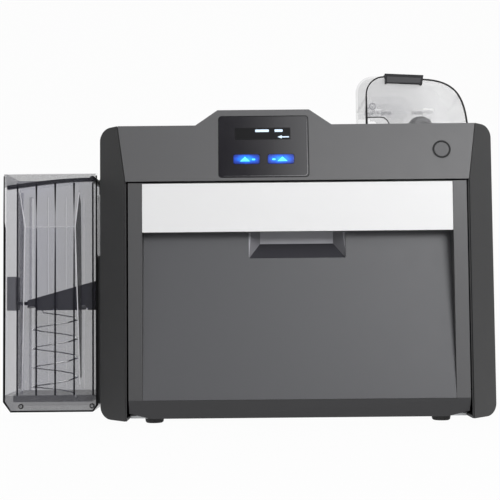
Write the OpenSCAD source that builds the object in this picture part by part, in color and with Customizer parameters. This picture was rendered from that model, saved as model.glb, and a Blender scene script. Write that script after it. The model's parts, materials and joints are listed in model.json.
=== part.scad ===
// Desktop card printer that prints on a film and presses the film on plastic cards. Cards are loaded in a
// clear hopper on the top right and drop into a smoked hopper on the left. The front door folds down.
// Axes of the drawing: X to the right, Y to the back with 0 at the door's face, Z up with 0 at the table.

/* [Body] */
// Width of the body over its side covers
body_w = 395; // [360:5:460]
// Height of the top cover over the table
body_h = 296; // [280:2:330]
// Depth of the body
body_d = 250; // [235:5:320]
// Thickness of the outer covers
wall = 2.6; // [2:0.2:3.4]
// Size of the slanted facet at each front corner
facet = 29; // [20:1:34]
// Radius of the body's long outer edges
edge_r = 12; // [6:1:16]
// Gap between neighbouring covers
seam = 0.6; // [0.4:0.1:1]
// Height of the rubber feet
foot_h = 6; // [4:1:9]

/* [Front door] */
// Height of the door's lower edge over the table
door_z = 7.5; // [7:0.5:10]
// Height of the gap over the door, over the table
door_top = 238; // [225:1:250]
// Width of the gap round the door
door_gap = 2; // [1.5:0.25:3]
// Depth of the door's box
door_depth = 20; // [18:1:24]
// Width of the raised strip at each side of the door
strip_w = 13.5; // [10:0.5:20]
// Height of the white band
band_h = 48; // [40:1:56]
// Depth of the sloped panel's upper edge behind the strips
panel_recess = 16; // [10:0.5:17]
// Height of the undercut strip at the door's foot
undercut_h = 18.5; // [14:0.5:24]
// Depth of the undercut at the door's foot
undercut_d = 9; // [5:0.5:10]
// Width of the pull pocket at its mouth
pocket_w = 96; // [80:2:120]
// Height of the pull pocket's mouth under the band
pocket_h = 25.5; // [20:0.5:32]
// Depth of the pull pocket's back wall
pocket_d = 30; // [26:1:34]

/* [Bezel and display] */
// How far the bezel leans back over its height
lean = 8.5; // [5:0.5:12]
// Width of the raised part over the display, at its top
hump_w = 91; // [80:1:110]
// Height of the raised part over the top cover
hump_rise = 15.5; // [10:0.5:20]
// Width of each slope beside the raised part
hump_slope = 22; // [12:1:30]
// Distance of the display from the body's middle, to the left
display_off = 32.5; // [20:0.5:45]
// Width of the dark display panel
lens_w = 88.6; // [76:0.2:89]
// Rim of the bezel over the dark display panel
lens_rim = 5.9; // [4:0.1:9]
// Rim of the bezel under the dark display panel
lens_sill = 3.4; // [3:0.1:6]
// Width of the screen
screen_w = 54; // [44:1:62]
// Height of the screen
screen_h = 16; // [10:1:20]
// Width of a lit key
key_w = 25.6; // [18:0.2:28]
// Height of a lit key
key_h = 9.2; // [6:0.2:11]
// Travel of a lit key
key_travel = 0.8; // [0.5:0.1:1.2]
// Distance of the power button from the body's middle
power_x = 143; // [120:1:150]
// Radius of the power button
power_r = 7.4; // [5:0.2:9]
// Travel of the power button
power_travel = 1.6; // [1:0.1:2]

/* [Cards] */
// Length of a card
card_l = 85.6; // [82:0.2:90]
// Width of a card
card_w = 54; // [50:0.1:58]
// Depth of the cards' middle behind the door's face
card_y = 88; // [84:1:96]
// Height of the card path over the table
path_z = 241; // [236:1:246]

/* [Input hopper] */
// Distance of the input hopper's left wall from the body's middle
in_x = 74.8; // [60:0.2:84]
// Width of the input hopper
in_w = 106.2; // [100:0.2:110]
// Depth of the input hopper
in_d = 96; // [74:1:104]
// Height of the input hopper's front edge over the top cover
in_h = 58; // [50:1:70]
// Slope of the input hopper's lid to the back
in_slope = 12.5; // [6:0.5:16]
// Height of the joint line between the hopper's base and its lid
in_seam = 37; // [30:1:40]
// Wall of the input hopper
in_wall = 2.2; // [1.6:0.1:2.6]
// Radius of the pick roller
pick_r = 14; // [11:0.5:16]

/* [Output hopper] */
// Depth of the output hopper
out_d = 66; // [64:1:74]
// Height of the output hopper's rim over the table
out_top = 255.5; // [250:0.5:262]
// Height of the output hopper's foot over the table
out_bottom = 10; // [6:1:14]
// Height of the output hopper's foot piece
out_base_h = 17; // [14:1:22]
// Gap between the body and the output hopper
out_gap = 6.5; // [5:0.5:9]
// Wall of the output hopper
out_wall = 2.5; // [1.8:0.1:3]
// Height of the finger notch's sill over the table
notch_z = 200; // [180:1:215]
// Width of the finger notch at its sill
notch_w = 51.5; // [40:0.5:60]
// Number of guide ribs on the front and on the back wall
rib_count = 5; // [3:1:6]
// Distance between guide ribs
rib_pitch = 19.5; // [16:0.1:20]

/* [Card lift] */
// Height of the lift platform's underside over the table
platform_z = 114; // [105:1:130]
// Height of the platform at its right end
platform_h = 29.7; // [24:0.5:34]
// Slope of the platform's top
platform_slope = 15.4; // [10:0.2:18]
// Outer diameter of the platform's spring
spring_d = 48.9; // [40:0.1:50]
// Diameter of the spring's wire
spring_wire = 1.5; // [1.2:0.1:2]
// Turns of the spring
spring_turns = 4.4; // [4:0.1:6]

/* [Drive] */
// Radius of the door's hinge pins
hinge_r = 3; // [2:0.25:3.5]
// Radial clearance of a pin or shaft in its hole
run_fit = 0.06; // [0.03:0.01:0.09]
// Thickness of the steel frame plates
plate_t = 2; // [1.5:0.25:2.5]
// Distance of the backbone plate behind the door's face
backbone_y = 130; // [128:1:136]
// Radius of the spools' cores
core_r = 11; // [9:0.5:13]
// Radius of the spools' shafts
spindle_r = 4; // [3:0.25:5]
// Radius of a full roll
full_r = 27; // [22:0.5:30]
// Radius of a started roll
started_r = 17; // [14:0.5:20]
// Radius of the platen roller
platen_r = 11; // [9:0.5:13]
// Radius of the heated transfer roller
transfer_r = 12; // [10:0.5:14]
// Radius of the card feed rollers
feed_r = 7; // [5.5:0.25:8]
// Module of the gears
gear_m = 1; // [0.9:0.05:1.1]
// Teeth of the platen's gear
platen_teeth = 30; // [28:1:32]
// Teeth of the motor's pinion
pinion_teeth = 12; // [11:1:13]
// Diameter of the fan
fan_d = 58; // [50:1:60]

/* [Hidden] */
$fn = 48;
eps = 0.01;
clear = 0.3;

// The object's own middle, so that its origin is under the middle of its box.
out_w = card_l + 2 * (out_wall + 3.4);
out_left = -body_w / 2 - out_gap - out_w;
mid_x = (out_left + body_w / 2) / 2;
mid_y = body_d / 2;

// Body: half widths, and the front's flat part between the facets.
half_w = body_w / 2;
front_half = half_w - facet;
cover_half = front_half - seam;
door_half = cover_half - door_gap;
inner_half = door_half - 6;
rear_y = body_d - wall;

// Bezel: it stands over the door and leans back to the top cover.
bezel_z = door_top + 1.6;
bezel_h = body_h - bezel_z;
lean_angle = atan(lean / bezel_h);
bezel_d = 30;
bezel_wall = 3;
bezel_face = 0.5;
hump_top = body_h + hump_rise;
lens_h = hump_top - lens_rim - bezel_z - lens_sill;
lens_z = bezel_z + lens_sill + lens_h / 2;
lens_t = 2;
key_z = lens_z - 0.205 * lens_h;
screen_z = lens_z + 0.196 * lens_h;
key_dx = 17;
power_z = bezel_z + bezel_h * 0.535;

// Door: heights of the white band and the sloped panel, and the hinge.
band_top = door_top - 0.8;
band_z = band_top - band_h;
band_t = 2.2;
panel_z = door_z + undercut_h;
panel_half = door_half - strip_w;
panel_t = 2.5;
panel_tilt = atan(panel_recess / (band_z - panel_z));
hinge_y = 15;
hinge_z = door_z + 9.5;
lug_t = 4;
lug_x = half_w - 47.5;
latch_x = lug_x - 30;
foot_x = lug_x - 5;
pan_pitch = latch_x / 3;
lug_r = hinge_r + 3;
ear_x = lug_t / 2 + 1 + lug_t / 2;
pan_y = 27;

// Input hopper.
in_y = card_y - 33;
in_z = body_h + clear;
in_seam_z = body_h + in_seam;
in_pin_y = in_y + in_d + 3;
in_pin_r = 1.5;
pick_x = in_x + 60.6;
pick_z = in_z + 5.6;
arm_x = in_x + 8;
arm_z = body_h + 28;
arm_len = 41;
arm_half = 11;
arm_pin_r = 3;
pick_shaft_r = 5;

// Output hopper: inner faces, the platform and its spring.
out_y = card_y - out_d / 2;
out_x = out_left;
out_right = out_x + out_w;
case_z = out_bottom + out_base_h;
seat_z = out_bottom + 10;
rib_t = 1.2;
rib_h = 1.8;
notch_x = out_x + out_w / 2 - 0.4;
rib_x = notch_x + 4.8;
spring_x = out_x + 47.2;
platform_l = out_x + 24;
platform_r = out_right - out_wall - 1;
platform_depth = out_d - 2 * (out_wall + rib_h + 0.8);
flap_pin_x = out_right - out_wall - 3.4;
flap_pin_z = out_top - 5.4;
flap_pin_r = 1.5;
flap_drop = 8.5;
slot_h = 12;
slot_w = card_w + 4;

// Drive: places of the rollers and spools, each as [x, z].
bay_x = inner_half - 2 * plate_t;
spool_off = 105;
ribbon_low = [-spool_off, 84];
ribbon_high = [-spool_off, 166];
film_low = [spool_off, 84];
film_high = [spool_off, 166];
platen_at = [2, 158];
transfer_at = [44, path_z - transfer_r - 1.2];
spool_y = 40;

flange_r = full_r + 3;
plate_y = spool_y - 5;
web_w = card_w + 6;
flange_t = 2;
web_t = 0.4;
web_y = card_y - web_w / 2;
spool_len = web_y + web_w + flange_t - spool_y;
roller_len = web_w + 4;
shaft_back = backbone_y + plate_t + 8;
gear_w = 5;
gear_y = backbone_y + plate_t + 2;
gear_gap = gear_m * (platen_teeth + pinion_teeth) / 2;
pinion_at = [platen_at[0], platen_at[1] - gear_gap];
motor_r = 17;
fan_at = [-80, 190];
board_y = backbone_y + plate_t + 22;
web_gap = 0.3;
guide_r = 3;
head_x = platen_at[0] - platen_r - 1.2;
head_pin_r = 2.5;
head_pin_at = [head_x - 20, platen_at[1] + 18];
guide_low = [head_x - guide_r - web_gap - web_t / 2, platen_at[1] - 32];
guide_high = [head_x - guide_r - web_gap - web_t / 2, platen_at[1] + 34];

// Moves a drawing from the body's axes to the object's own.
module place() {
    translate([-mid_x, -mid_y, 0])
        children();
}

// A box between two corners.
module block(low, high) {
    translate(low)
        cube(high - low);
}

// A rod along Y from y0 to y1 at [x, z].
module rod_y(at, r, y0, y1) {
    translate([at[0], y1, at[1]])
        rotate([90, 0, 0])
            cylinder(r = r, h = y1 - y0);
}

// A rod along X from x0 to x1 at [y, z].
module rod_x(at, r, x0, x1) {
    translate([x0, at[0], at[1]])
        rotate([0, 90, 0])
            cylinder(r = r, h = x1 - x0);
}

// An outline drawn in X and Z, run along Y from y0 to y1.
module slab_y(y0, y1) {
    translate([0, y1, 0])
        rotate([90, 0, 0])
            linear_extrude(y1 - y0)
                children();
}

// An outline drawn in Y and Z, run along X from x0 to x1.
module slab_x(x0, x1) {
    translate([x0, 0, 0])
        rotate([90, 0, 90])
            linear_extrude(x1 - x0)
                children();
}

// A flat rectangle with round corners, between two corners.
module round_rect(low, high, r) {
    translate([low[0] + r, low[1]])
        square([high[0] - low[0] - 2 * r, high[1] - low[1]]);
    translate([low[0], low[1] + r])
        square([high[0] - low[0], high[1] - low[1] - 2 * r]);
    for (x = [low[0] + r, high[0] - r], z = [low[1] + r, high[1] - r])
        translate([x, z])
            circle(r);
}

// Points of a cubic curve between its ends p and s, drawn to q and r.
function curve(p, q, r, s, n) = [
    for (i = [0 : n])
        let (t = i / n, u = 1 - t)
            u * u * u * p + 3 * u * u * t * q + 3 * u * t * t * r + t * t * t * s
];

// Points of an arc about c.
function arc(c, r, a0, a1, n) = [
    for (i = [0 : n])
        let (a = a0 + (a1 - a0) * i / n)
            [c[0] + r * cos(a), c[1] + r * sin(a)]
];

// --- Casing ---

// The body's outer form, moved in by a wall.
module body_form(in) {
    cut = in * tan(22.5);
    intersection() {
        translate([0, 0, foot_h + in])
            linear_extrude(body_h - foot_h - 2 * in)
                polygon([
                    [-front_half + cut, in], [front_half - cut, in],
                    [half_w - in, facet + cut], [half_w - in, body_d - in],
                    [in - half_w, body_d - in], [in - half_w, facet + cut]
                ]);
        slab_y(in, body_d - in)
            round_rect([in - half_w, foot_h + in], [half_w - in, body_h - in], edge_r - in);
    }
}

module body_shell() {
    difference() {
        body_form(0);
        body_form(wall);
    }
}

// The bezel's front outline, moved in by a wall, without the raised part.
function bezel_outline(in, top) = [
    [-front_half + in, bezel_z + in], [front_half - in, bezel_z + in],
    [front_half + lean - in, top], [-front_half - lean + in, top]
];

module bezel_space(gap) {
    slab_y(-1, bezel_d)
        polygon([
            [-front_half - gap, bezel_z - gap], [front_half + gap, bezel_z - gap],
            [front_half + lean + gap, body_h + 1], [-front_half - lean - gap, body_h + 1]
        ]);
}

module side_cover() {
    difference() {
        union() {
            intersection() {
                body_shell();
                block([cover_half, -1, 0], [half_w + 1, rear_y - seam, body_h + 1]);
            }
            // Ribs that stiffen the wall inside.
            for (y = [70, 125, 180])
                block([half_w - wall - 4, y, foot_h + edge_r + 4], [half_w - wall / 2, y + 1.6, body_h - edge_r - 4]);
        }
        bezel_space(seam);
        // The door's side gap runs on behind the front edge.
        block([cover_half - 1, -1, 0], [cover_half + wall - 1.2, wall, door_top]);
    }
}

module right_cover() {
    color("dimgray")
        difference() {
            side_cover();
            vents(half_w - wall - 1, half_w + 1);
        }
}

// Cooling slots through a side wall.
module vents(x0, x1) {
    for (i = [0 : 8])
        slab_x(x0, x1)
            round_rect([body_d - 100 + i * 9, foot_h + 34], [body_d - 96 + i * 9, foot_h + 90], 1.8);
}

module left_cover() {
    color("dimgray")
        difference() {
            union() {
                mirror([1, 0, 0])
                    side_cover();
                // Throat that carries the cards over to the hopper.
                slab_x(-half_w - out_gap + 1.5, -half_w + wall)
                    round_rect(
                        [card_y - slot_w / 2 - 2, path_z - slot_h / 2 - 2],
                        [card_y + slot_w / 2 + 2, path_z + slot_h / 2 + 2], 2
                    );
            }
            slab_x(-half_w - out_gap - 1, -half_w + wall + 6)
                round_rect(
                    [card_y - slot_w / 2, path_z - slot_h / 2],
                    [card_y + slot_w / 2, path_z + slot_h / 2], 1.5
                );
        }
}

module top_cover() {
    color("dimgray")
        difference() {
            intersection() {
                body_shell();
                block(
                    [-cover_half + seam, bezel_d + seam, body_h - wall - eps],
                    [cover_half - seam, rear_y - seam, body_h + 1]
                );
            }
            // Feed opening under the input hopper.
            block([in_x + 8, card_y - 28, body_h - wall - 1], [in_x + in_w - 12, card_y + 28, body_h + 1]);
            // Finger recess of the rear maintenance grille.
            for (i = [0 : 9])
                slab_z(body_h - wall - 1, body_h + 1)
                    round_rect([i * 10 - latch_x, body_d - 60], [i * 10 + 4 - latch_x, body_d - 24], 1.8);
        }
}

// An outline in X and Y, raised from z0 to z1.
module slab_z(z0, z1) {
    translate([0, 0, z0])
        linear_extrude(z1 - z0)
            children();
}

module rear_panel() {
    color("dimgray")
        difference() {
            union() {
                intersection() {
                    body_form(0);
                    block([-half_w, rear_y, 0], [half_w, body_d + 1, body_h + 1]);
                }
                // Bosses behind the screws.
                for (x = screw_x, z = screw_z)
                    rod_y([x, z], 4.5, rear_y - 5, rear_y + eps);
            }
            for (x = screw_x, z = screw_z) {
                rod_y([x, z], screw_r + 0.1, rear_y - 6, body_d + 1);
                rod_y([x, z], screw_head_r + 0.2, body_d - 1.6, body_d + 1);
            }
            // Fan grille: rings of slots.
            for (r = [8, 16, 24])
                difference() {
                    rod_y(fan_at, r + 2, rear_y - 1, body_d + 1);
                    rod_y(fan_at, r - 2, rear_y - 2, body_d + 2);
                    block([fan_at[0] - 40, rear_y - 2, fan_at[1] - 1.5], [fan_at[0] + 40, body_d + 2, fan_at[1] + 1.5]);
                    block([fan_at[0] - 1.5, rear_y - 2, fan_at[1] - 40], [fan_at[0] + 1.5, body_d + 2, fan_at[1] + 40]);
                }
            // Air slots.
            for (i = [0 : 11])
                slab_y(rear_y - 1, body_d + 1)
                    round_rect([20 + i * 9, body_h - 146], [24 + i * 9, body_h - 66], 1.8);
            // Cut-outs for the inlet and the data ports.
            block([inlet_x - inlet_w / 2, rear_y - 1, inlet_z], [inlet_x + inlet_w / 2, body_d + 1, inlet_z + inlet_h]);
            block([port_x - 1, rear_y - 1, port_z - 1], [port_x + port_w + 1, body_d + 1, port_z + port_h + 1]);
        }
}

screw_x = [27.5 - half_w, -20, half_w - 27.5];
screw_z = [foot_h + 18, body_h - 20];
screw_r = 1.6;
screw_head_r = 3;
inlet_x = half_w - 67.5;
inlet_z = 34;
inlet_w = 28;
inlet_h = 20;
port_x = -60;
port_z = 36;
port_w = 46;
port_h = 16;

// A screw with a crossed head along Y, its head's front at y. The side is 1 where it is driven from the front.
module screw_y(at, y, r, head_r, len, side) {
    difference() {
        for (part = [[r, 1, len], [head_r, 0, 1.35]])
            rod_y(at, part[0], min(y + side * part[1], y + side * part[2]), max(y + side * part[1], y + side * part[2]));
        for (half = [[2, 0.35], [0.35, 2]])
            block([at[0] - half[0], y - 0.7, at[1] - half[1]], [at[0] + half[0], y + 0.7, at[1] + half[1]]);
    }
}

// Screws of the rear panel and of the output hopper's foot.
module case_screws() {
    color("silver") {
        for (x = screw_x, z = screw_z)
            screw_y([x, z], body_d - 0.2, screw_r, screw_head_r, 7, -1);
        for (x = base_screw_x)
            screw_y([x, base_screw_z], out_y - 0.2, base_screw_r, base_head_r, 3.6, 1);
    }
}

module base_pan() {
    color("silver")
        difference() {
            union() {
                intersection() {
                    body_form(0);
                    block([-cover_half + seam, pan_y, foot_h], [cover_half - seam, rear_y - seam, foot_h + wall]);
                }
                // Low flanges that stiffen the pan.
                for (y = [pan_y + 1, rear_y - seam - 3])
                    block([-inner_half + 6, y, foot_h + wall - eps], [inner_half - 6, y + plate_t, foot_h + 12]);
                for (side = [-1, 1], dx = [-ear_x, ear_x])
                    hinge_ear(side * lug_x + dx);
            }
            for (i = [-3 : 3])
                slab_z(foot_h - 1, foot_h + wall + 1)
                    round_rect([i * pan_pitch - 14, rear_y - 57], [i * pan_pitch + 14, rear_y - 51], 2.5);
        }
}

// A steel ear that holds a hinge pin, reaching forward from the pan.
module hinge_ear(x) {
    difference() {
        union() {
            rod_x([hinge_y, hinge_z], lug_r, x - lug_t / 2, x + lug_t / 2);
            block([x - lug_t / 2, hinge_y, hinge_z + 1], [x + lug_t / 2, pan_y + 3, hinge_z + lug_r]);
            block([x - lug_t / 2, pan_y, foot_h + 1], [x + lug_t / 2, pan_y + 3, hinge_z + lug_r]);
        }
        rod_x([hinge_y, hinge_z], hinge_r, x - lug_t, x + lug_t);
    }
}

module hinge_pins() {
    color("silver")
        for (side = [-1, 1])
            rod_x([hinge_y, hinge_z], hinge_r, side * lug_x - ear_x - lug_t / 2, side * lug_x + ear_x + lug_t / 2);
}

module rubber_feet() {
    color("black")
        for (x = [-foot_x, foot_x], y = [pan_y + 18, rear_y - 24])
            translate([x, y, 0])
                rotate_extrude()
                    polygon([[0, 0], [8, 0], [9, 1], [10, foot_h], [0, foot_h]]);
}

// --- Bezel, display and buttons ---

// Everything behind the bezel's leaning face, moved back by a depth.
module behind_face(depth) {
    translate([0, bezel_face, bezel_z])
        rotate([-lean_angle, 0, 0])
            translate([-half_w - 20, depth, -40])
                cube([2 * half_w + 40, 90, 160]);
}

function hump_outline(in) = [
    [-display_off - hump_w / 2 - hump_slope + in, body_h - 12],
    [-display_off + hump_w / 2 + hump_slope - in, body_h - 12],
    [-display_off + hump_w / 2 + hump_slope - in, body_h - in],
    [-display_off + hump_w / 2 - in / 2, hump_top - in],
    [-display_off - hump_w / 2 + in / 2, hump_top - in],
    [-display_off - hump_w / 2 - hump_slope + in, body_h - in]
];

module bezel_solid(in) {
    intersection() {
        union() {
            slab_y(0, bezel_d - in / 2)
                polygon(bezel_outline(in, body_h - in));
            // The raised part runs back over the top cover and slopes down.
            intersection() {
                slab_y(0, hump_back)
                    polygon(hump_outline(in));
                slab_x(-half_w, half_w)
                    polygon([
                        [0, body_h - 12], [hump_back - in, body_h - 12], [hump_back - in, body_h + 0.5],
                        [bezel_d + 4, hump_top - in], [0, hump_top - in]
                    ]);
            }
        }
        behind_face(in);
    }
}

hump_back = bezel_d + 34;

// A pocket or hole in the bezel's face about [x, z], as deep as its bottom.
module face_cut(depth) {
    translate([0, bezel_face, bezel_z])
        rotate([-lean_angle, 0, 0])
            translate([0, -1, -bezel_z])
                slab_y(0, depth + 1)
                    children();
}

module on_face(front, back) {
    translate([0, bezel_face, bezel_z])
        rotate([-lean_angle, 0, 0])
            translate([0, 0, -bezel_z])
                slab_y(front, back)
                    children();
}

module lens_outline(in) {
    round_rect(
        [-display_off - lens_w / 2 + in, lens_z - lens_h / 2 + in],
        [-display_off + lens_w / 2 - in, lens_z + lens_h / 2 - in], 3
    );
}

module key_outline(side, in) {
    x = -display_off + side * key_dx;
    round_rect([x - key_w / 2 + in, key_z - key_h / 2 + in], [x + key_w / 2 - in, key_z + key_h / 2 - in], 2);
}

module front_bezel() {
    color("dimgray")
        difference() {
            union() {
                difference() {
                    bezel_solid(0);
                    bezel_solid(bezel_wall);
                    // Open back and underside behind the raised part.
                    block([-half_w, bezel_d - 8, bezel_z + 6], [half_w, bezel_d + 1, body_h - 6]);
                    block([-front_half + 6, bezel_d - 0.5, body_h - 13], [front_half, hump_back + 1, body_h + 0.4]);
                }
                // Seat behind the display and collar behind the power button.
                on_face(1, bezel_wall + 3)
                    lens_outline(-1.5);
                on_face(1, bezel_wall + 6)
                    translate([power_x, power_z])
                        circle(power_r + 5);
            }
            // Recess of the display, with a window for the screen and the keys.
            face_cut(lens_t)
                lens_outline(-0.2);
            face_cut(20)
                round_rect(
                    [-display_off - screen_w / 2, screen_z - screen_h / 2],
                    [-display_off + screen_w / 2, screen_z + screen_h / 2], 1
                );
            for (side = [-1, 1])
                face_cut(20)
                    key_outline(side, -clear);
            // Seat of the ring and hole of the power button.
            face_cut(1.2)
                translate([power_x, power_z])
                    circle(power_r + 1.9);
            face_cut(20)
                translate([power_x, power_z])
                    circle(power_r + clear);
        }
}

module display_lens() {
    color("black")
        difference() {
            on_face(0.1, lens_t)
                lens_outline(0);
            for (side = [-1, 1])
                on_face(-2, 5)
                    key_outline(side, -clear);
        }
}

module display_screen() {
    color("darkslategray")
        on_face(lens_t, lens_t + 3)
            round_rect(
                [-display_off - screen_w / 2 + clear, screen_z - screen_h / 2 + clear],
                [-display_off + screen_w / 2 - clear, screen_z + screen_h / 2 - clear], 1
            );
}

module lit_key(side) {
    color("dodgerblue")
        on_face(0.5 - key_travel, bezel_wall + 3.4)
            key_outline(side, 0);
}

module left_key() {
    lit_key(-1);
}

module right_key() {
    lit_key(1);
}

module power_ring() {
    color("gray")
        difference() {
            on_face(-0.2, 1.2)
                translate([power_x, power_z])
                    circle(power_r + 1.8);
            on_face(-1, 3)
                translate([power_x, power_z])
                    circle(power_r + clear);
        }
}

module power_button() {
    color("dimgray")
        on_face(1.4 - power_travel, bezel_wall + 5)
            translate([power_x, power_z])
                circle(power_r);
}

// --- Front door ---

// The door's front outline, moved in by a wall. Its lower corners are cut back.
module door_outline(in) {
    polygon([
        [-door_half + in, door_z + 5.5 + in / 2], [-door_half + 21, door_z + in], [door_half - 21, door_z + in],
        [door_half - in, door_z + 5.5 + in / 2], [door_half - in, door_top - in], [-door_half + in, door_top - in]
    ]);
}

// The door's side view, moved in by a wall: undercut foot, flat face.
module door_side(in) {
    polygon([
        [in, panel_z + in / 4], [undercut_d + in, door_z - 1], [door_depth + 1, door_z - 1],
        [door_depth + 1, door_top + 1], [1.2 + in, door_top + 1], [in, door_top - 1.2]
    ]);
}

module door_form(in) {
    intersection() {
        slab_y(0, door_depth)
            door_outline(in);
        slab_x(-door_half, door_half)
            door_side(in);
    }
}

// Depth of the sloped panel's face at a height.
function panel_y(z) = (z - panel_z) * tan(panel_tilt);

// The space in front of a plane that lies behind the sloped panel's face.
module panel_space(back, half, z0, z1) {
    slab_x(-half, half)
        polygon([[-1, z0], [panel_y(z0) + back, z0], [panel_y(z1) + back, z1], [-1, z1]]);
}

module door_shell() {
    color("dimgray")
        difference() {
            union() {
                difference() {
                    door_form(0);
                    // Hollow behind the skin, open to the back and the foot.
                    intersection() {
                        slab_y(wall, door_depth + 1)
                            polygon([
                                [-door_half + wall, door_z - 1], [door_half - wall, door_z - 1],
                                [door_half - wall, door_top - wall], [-door_half + wall, door_top - wall]
                            ]);
                        slab_x(-door_half, door_half)
                            polygon([
                                [wall, panel_z + 0.5], [undercut_d + wall, door_z - 1.5], [door_depth + 2, door_z - 1.5],
                                [door_depth + 2, door_top], [wall, door_top]
                            ]);
                    }
                }
                // Inner walls beside the sloped panel and the ledge over it.
                for (side = [-1, 1])
                    block(
                        [side > 0 ? panel_half : -panel_half - wall, 1, panel_z - wall],
                        [side > 0 ? panel_half + wall : -panel_half, door_depth, band_z + wall]
                    );
                block([-panel_half - wall, 1, band_z], [panel_half + wall, door_depth, band_z + wall]);
                // Wall behind the white band.
                block([-panel_half, band_t, band_z], [panel_half, band_t + 2.2, band_top]);
                // Foot rail under the panel and lugs for the hinge pins.
                block([-panel_half - wall, 1.5, panel_z - wall], [panel_half + wall, 7, panel_z]);
                for (side = [-1, 1])
                    intersection() {
                        union() {
                            rod_x([hinge_y, hinge_z], lug_r, side * lug_x - lug_t / 2, side * lug_x + lug_t / 2);
                            block(
                                [side * lug_x - lug_t / 2, 2, hinge_z], [side * lug_x + lug_t / 2, hinge_y + 1, panel_z - 1]
                            );
                        }
                        door_form(0.2);
                    }
            }
            // Seat of the white band.
            block([-panel_half, -1, band_z], [panel_half, band_t, band_top + 3]);
            // Window of the sloped panel.
            block([-panel_half, -1, panel_z], [panel_half, wall + eps, band_z]);
            // Mouth of the pull pocket in the ledge.
            block([-pocket_w / 2 - 2.2, band_t + 0.5, band_z - 1], [pocket_w / 2 + 2.2, door_depth + 1, band_z + 13.2]);
            for (side = [-1, 1])
                rod_x([hinge_y, hinge_z], hinge_r + run_fit, side * lug_x - lug_t, side * lug_x + lug_t);
        }
}

module door_panel() {
    color([0.36, 0.36, 0.37])
        difference() {
            slab_x(-panel_half + 0.2, panel_half - 0.2)
                polygon([
                    [panel_y(panel_z), panel_z + 0.2], [panel_y(band_z - 0.2), band_z - 0.2],
                    [panel_y(band_z - 0.2) + panel_t, band_z - 0.2], [panel_t, panel_z + 0.2]
                ]);
            slab_y(-1, 60)
                round_rect([-pocket_w / 2, band_z - pocket_h], [pocket_w / 2, band_z + 9], 2);
        }
}

module white_band() {
    color("white")
        slab_y(0.1, band_t)
            polygon([
                [-panel_half + 0.25, band_z + 0.2], [panel_half - 0.25, band_z + 0.2],
                [panel_half - 0.25, band_top], [-panel_half + 0.25, band_top]
            ]);
}

// The pocket's hollow, or its cup when grown by a wall.
module pocket_form(grow) {
    low = band_z - pocket_h;
    mouth = panel_y(low) + panel_t;
    narrow = (pocket_w / 2) * 0.765;
    intersection() {
        slab_x(-pocket_w, pocket_w)
            polygon([
                [mouth - 8, low - grow * 1.2], [mouth, low - grow * 1.2], [pocket_d + grow, band_z - 10.5 - grow / 2],
                [pocket_d + grow, band_z + 11 + grow], [band_t + 2.4 - grow, band_z + 11 + grow],
                [band_t + 2.4 - grow, band_z - 10]
            ]);
        slab_z(low - 9, band_z + 20)
            polygon([
                [-pocket_w / 2 - grow, 0], [pocket_w / 2 + grow, 0], [pocket_w / 2 + grow, mouth],
                [narrow + grow, pocket_d + grow], [-narrow - grow, pocket_d + grow], [-pocket_w / 2 - grow, mouth]
            ]);
    }
}

module pull_pocket() {
    color([0.3, 0.3, 0.31])
        difference() {
            pocket_form(1.8);
            pocket_form(0);
            // The cup begins behind the sloped panel and the ledge.
            panel_space(panel_t + 0.1, pocket_w, panel_z, band_z);
            block([-pocket_w, -1, band_z - 1], [pocket_w, band_t + 0.2, band_z + 30]);
            block([-pocket_w, -1, band_z - 0.3], [-pocket_w / 2 - 1.7, 60, band_z + wall + 0.2]);
            block([pocket_w / 2 + 1.7, -1, band_z - 0.3], [pocket_w, 60, band_z + wall + 0.2]);
        }
}

module door_latches() {
    color("silver")
        for (side = [-1, 1])
            slab_x(side * latch_x - 3, side * latch_x + 3)
                polygon([
                    [band_t + 2.3, door_top - 22], [door_depth + 6, door_top - 17], [door_depth + 13, door_top - 17],
                    [door_depth + 10, door_top - 9], [door_depth + 8, door_top - 12], [band_t + 2.3, door_top - 12]
                ]);
}

// --- Frame and drive ---

module side_frame(side) {
    x = side * inner_half;
    color("silver")
        difference() {
            union() {
                slab_x(min(x, x - side * plate_t), max(x, x - side * plate_t))
                    polygon([
                        [pan_y + 8, foot_h + wall + 9], [rear_y - 6, foot_h + wall + 9], [rear_y - 6, 200], [190, body_h - 12],
                        [bezel_d + 8, body_h - 12], [bezel_d + 8, bezel_z + 4], [pan_y + 8, bezel_z - 24]
                    ]);
                // Foot flange on the pan's own flanges.
                block(
                    [min(x, x - side * 14), pan_y + 14, foot_h + wall], [max(x, x - side * 14), rear_y - 20, foot_h + wall + plate_t]
                );
                slab_x(min(x, x - side * plate_t), max(x, x - side * plate_t))
                    square_at(pan_y + 14, rear_y - 20, foot_h + wall, foot_h + wall + 12);
            }
            for (y = [70, 170])
                rod_x([y, body_h / 2 - 28], 14, x - 5, x + 5);
            if (side < 0)
                slab_x(x - 5, x + 5)
                    round_rect(
                        [card_y - slot_w / 2, path_z - slot_h / 2], [card_y + slot_w / 2, path_z + slot_h / 2], 1.5
                    );
        }
}

module square_at(x0, x1, y0, y1) {
    translate([x0, y0])
        square([x1 - x0, y1 - y0]);
}

module left_frame() {
    side_frame(-1);
}

module right_frame() {
    side_frame(1);
}

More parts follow.
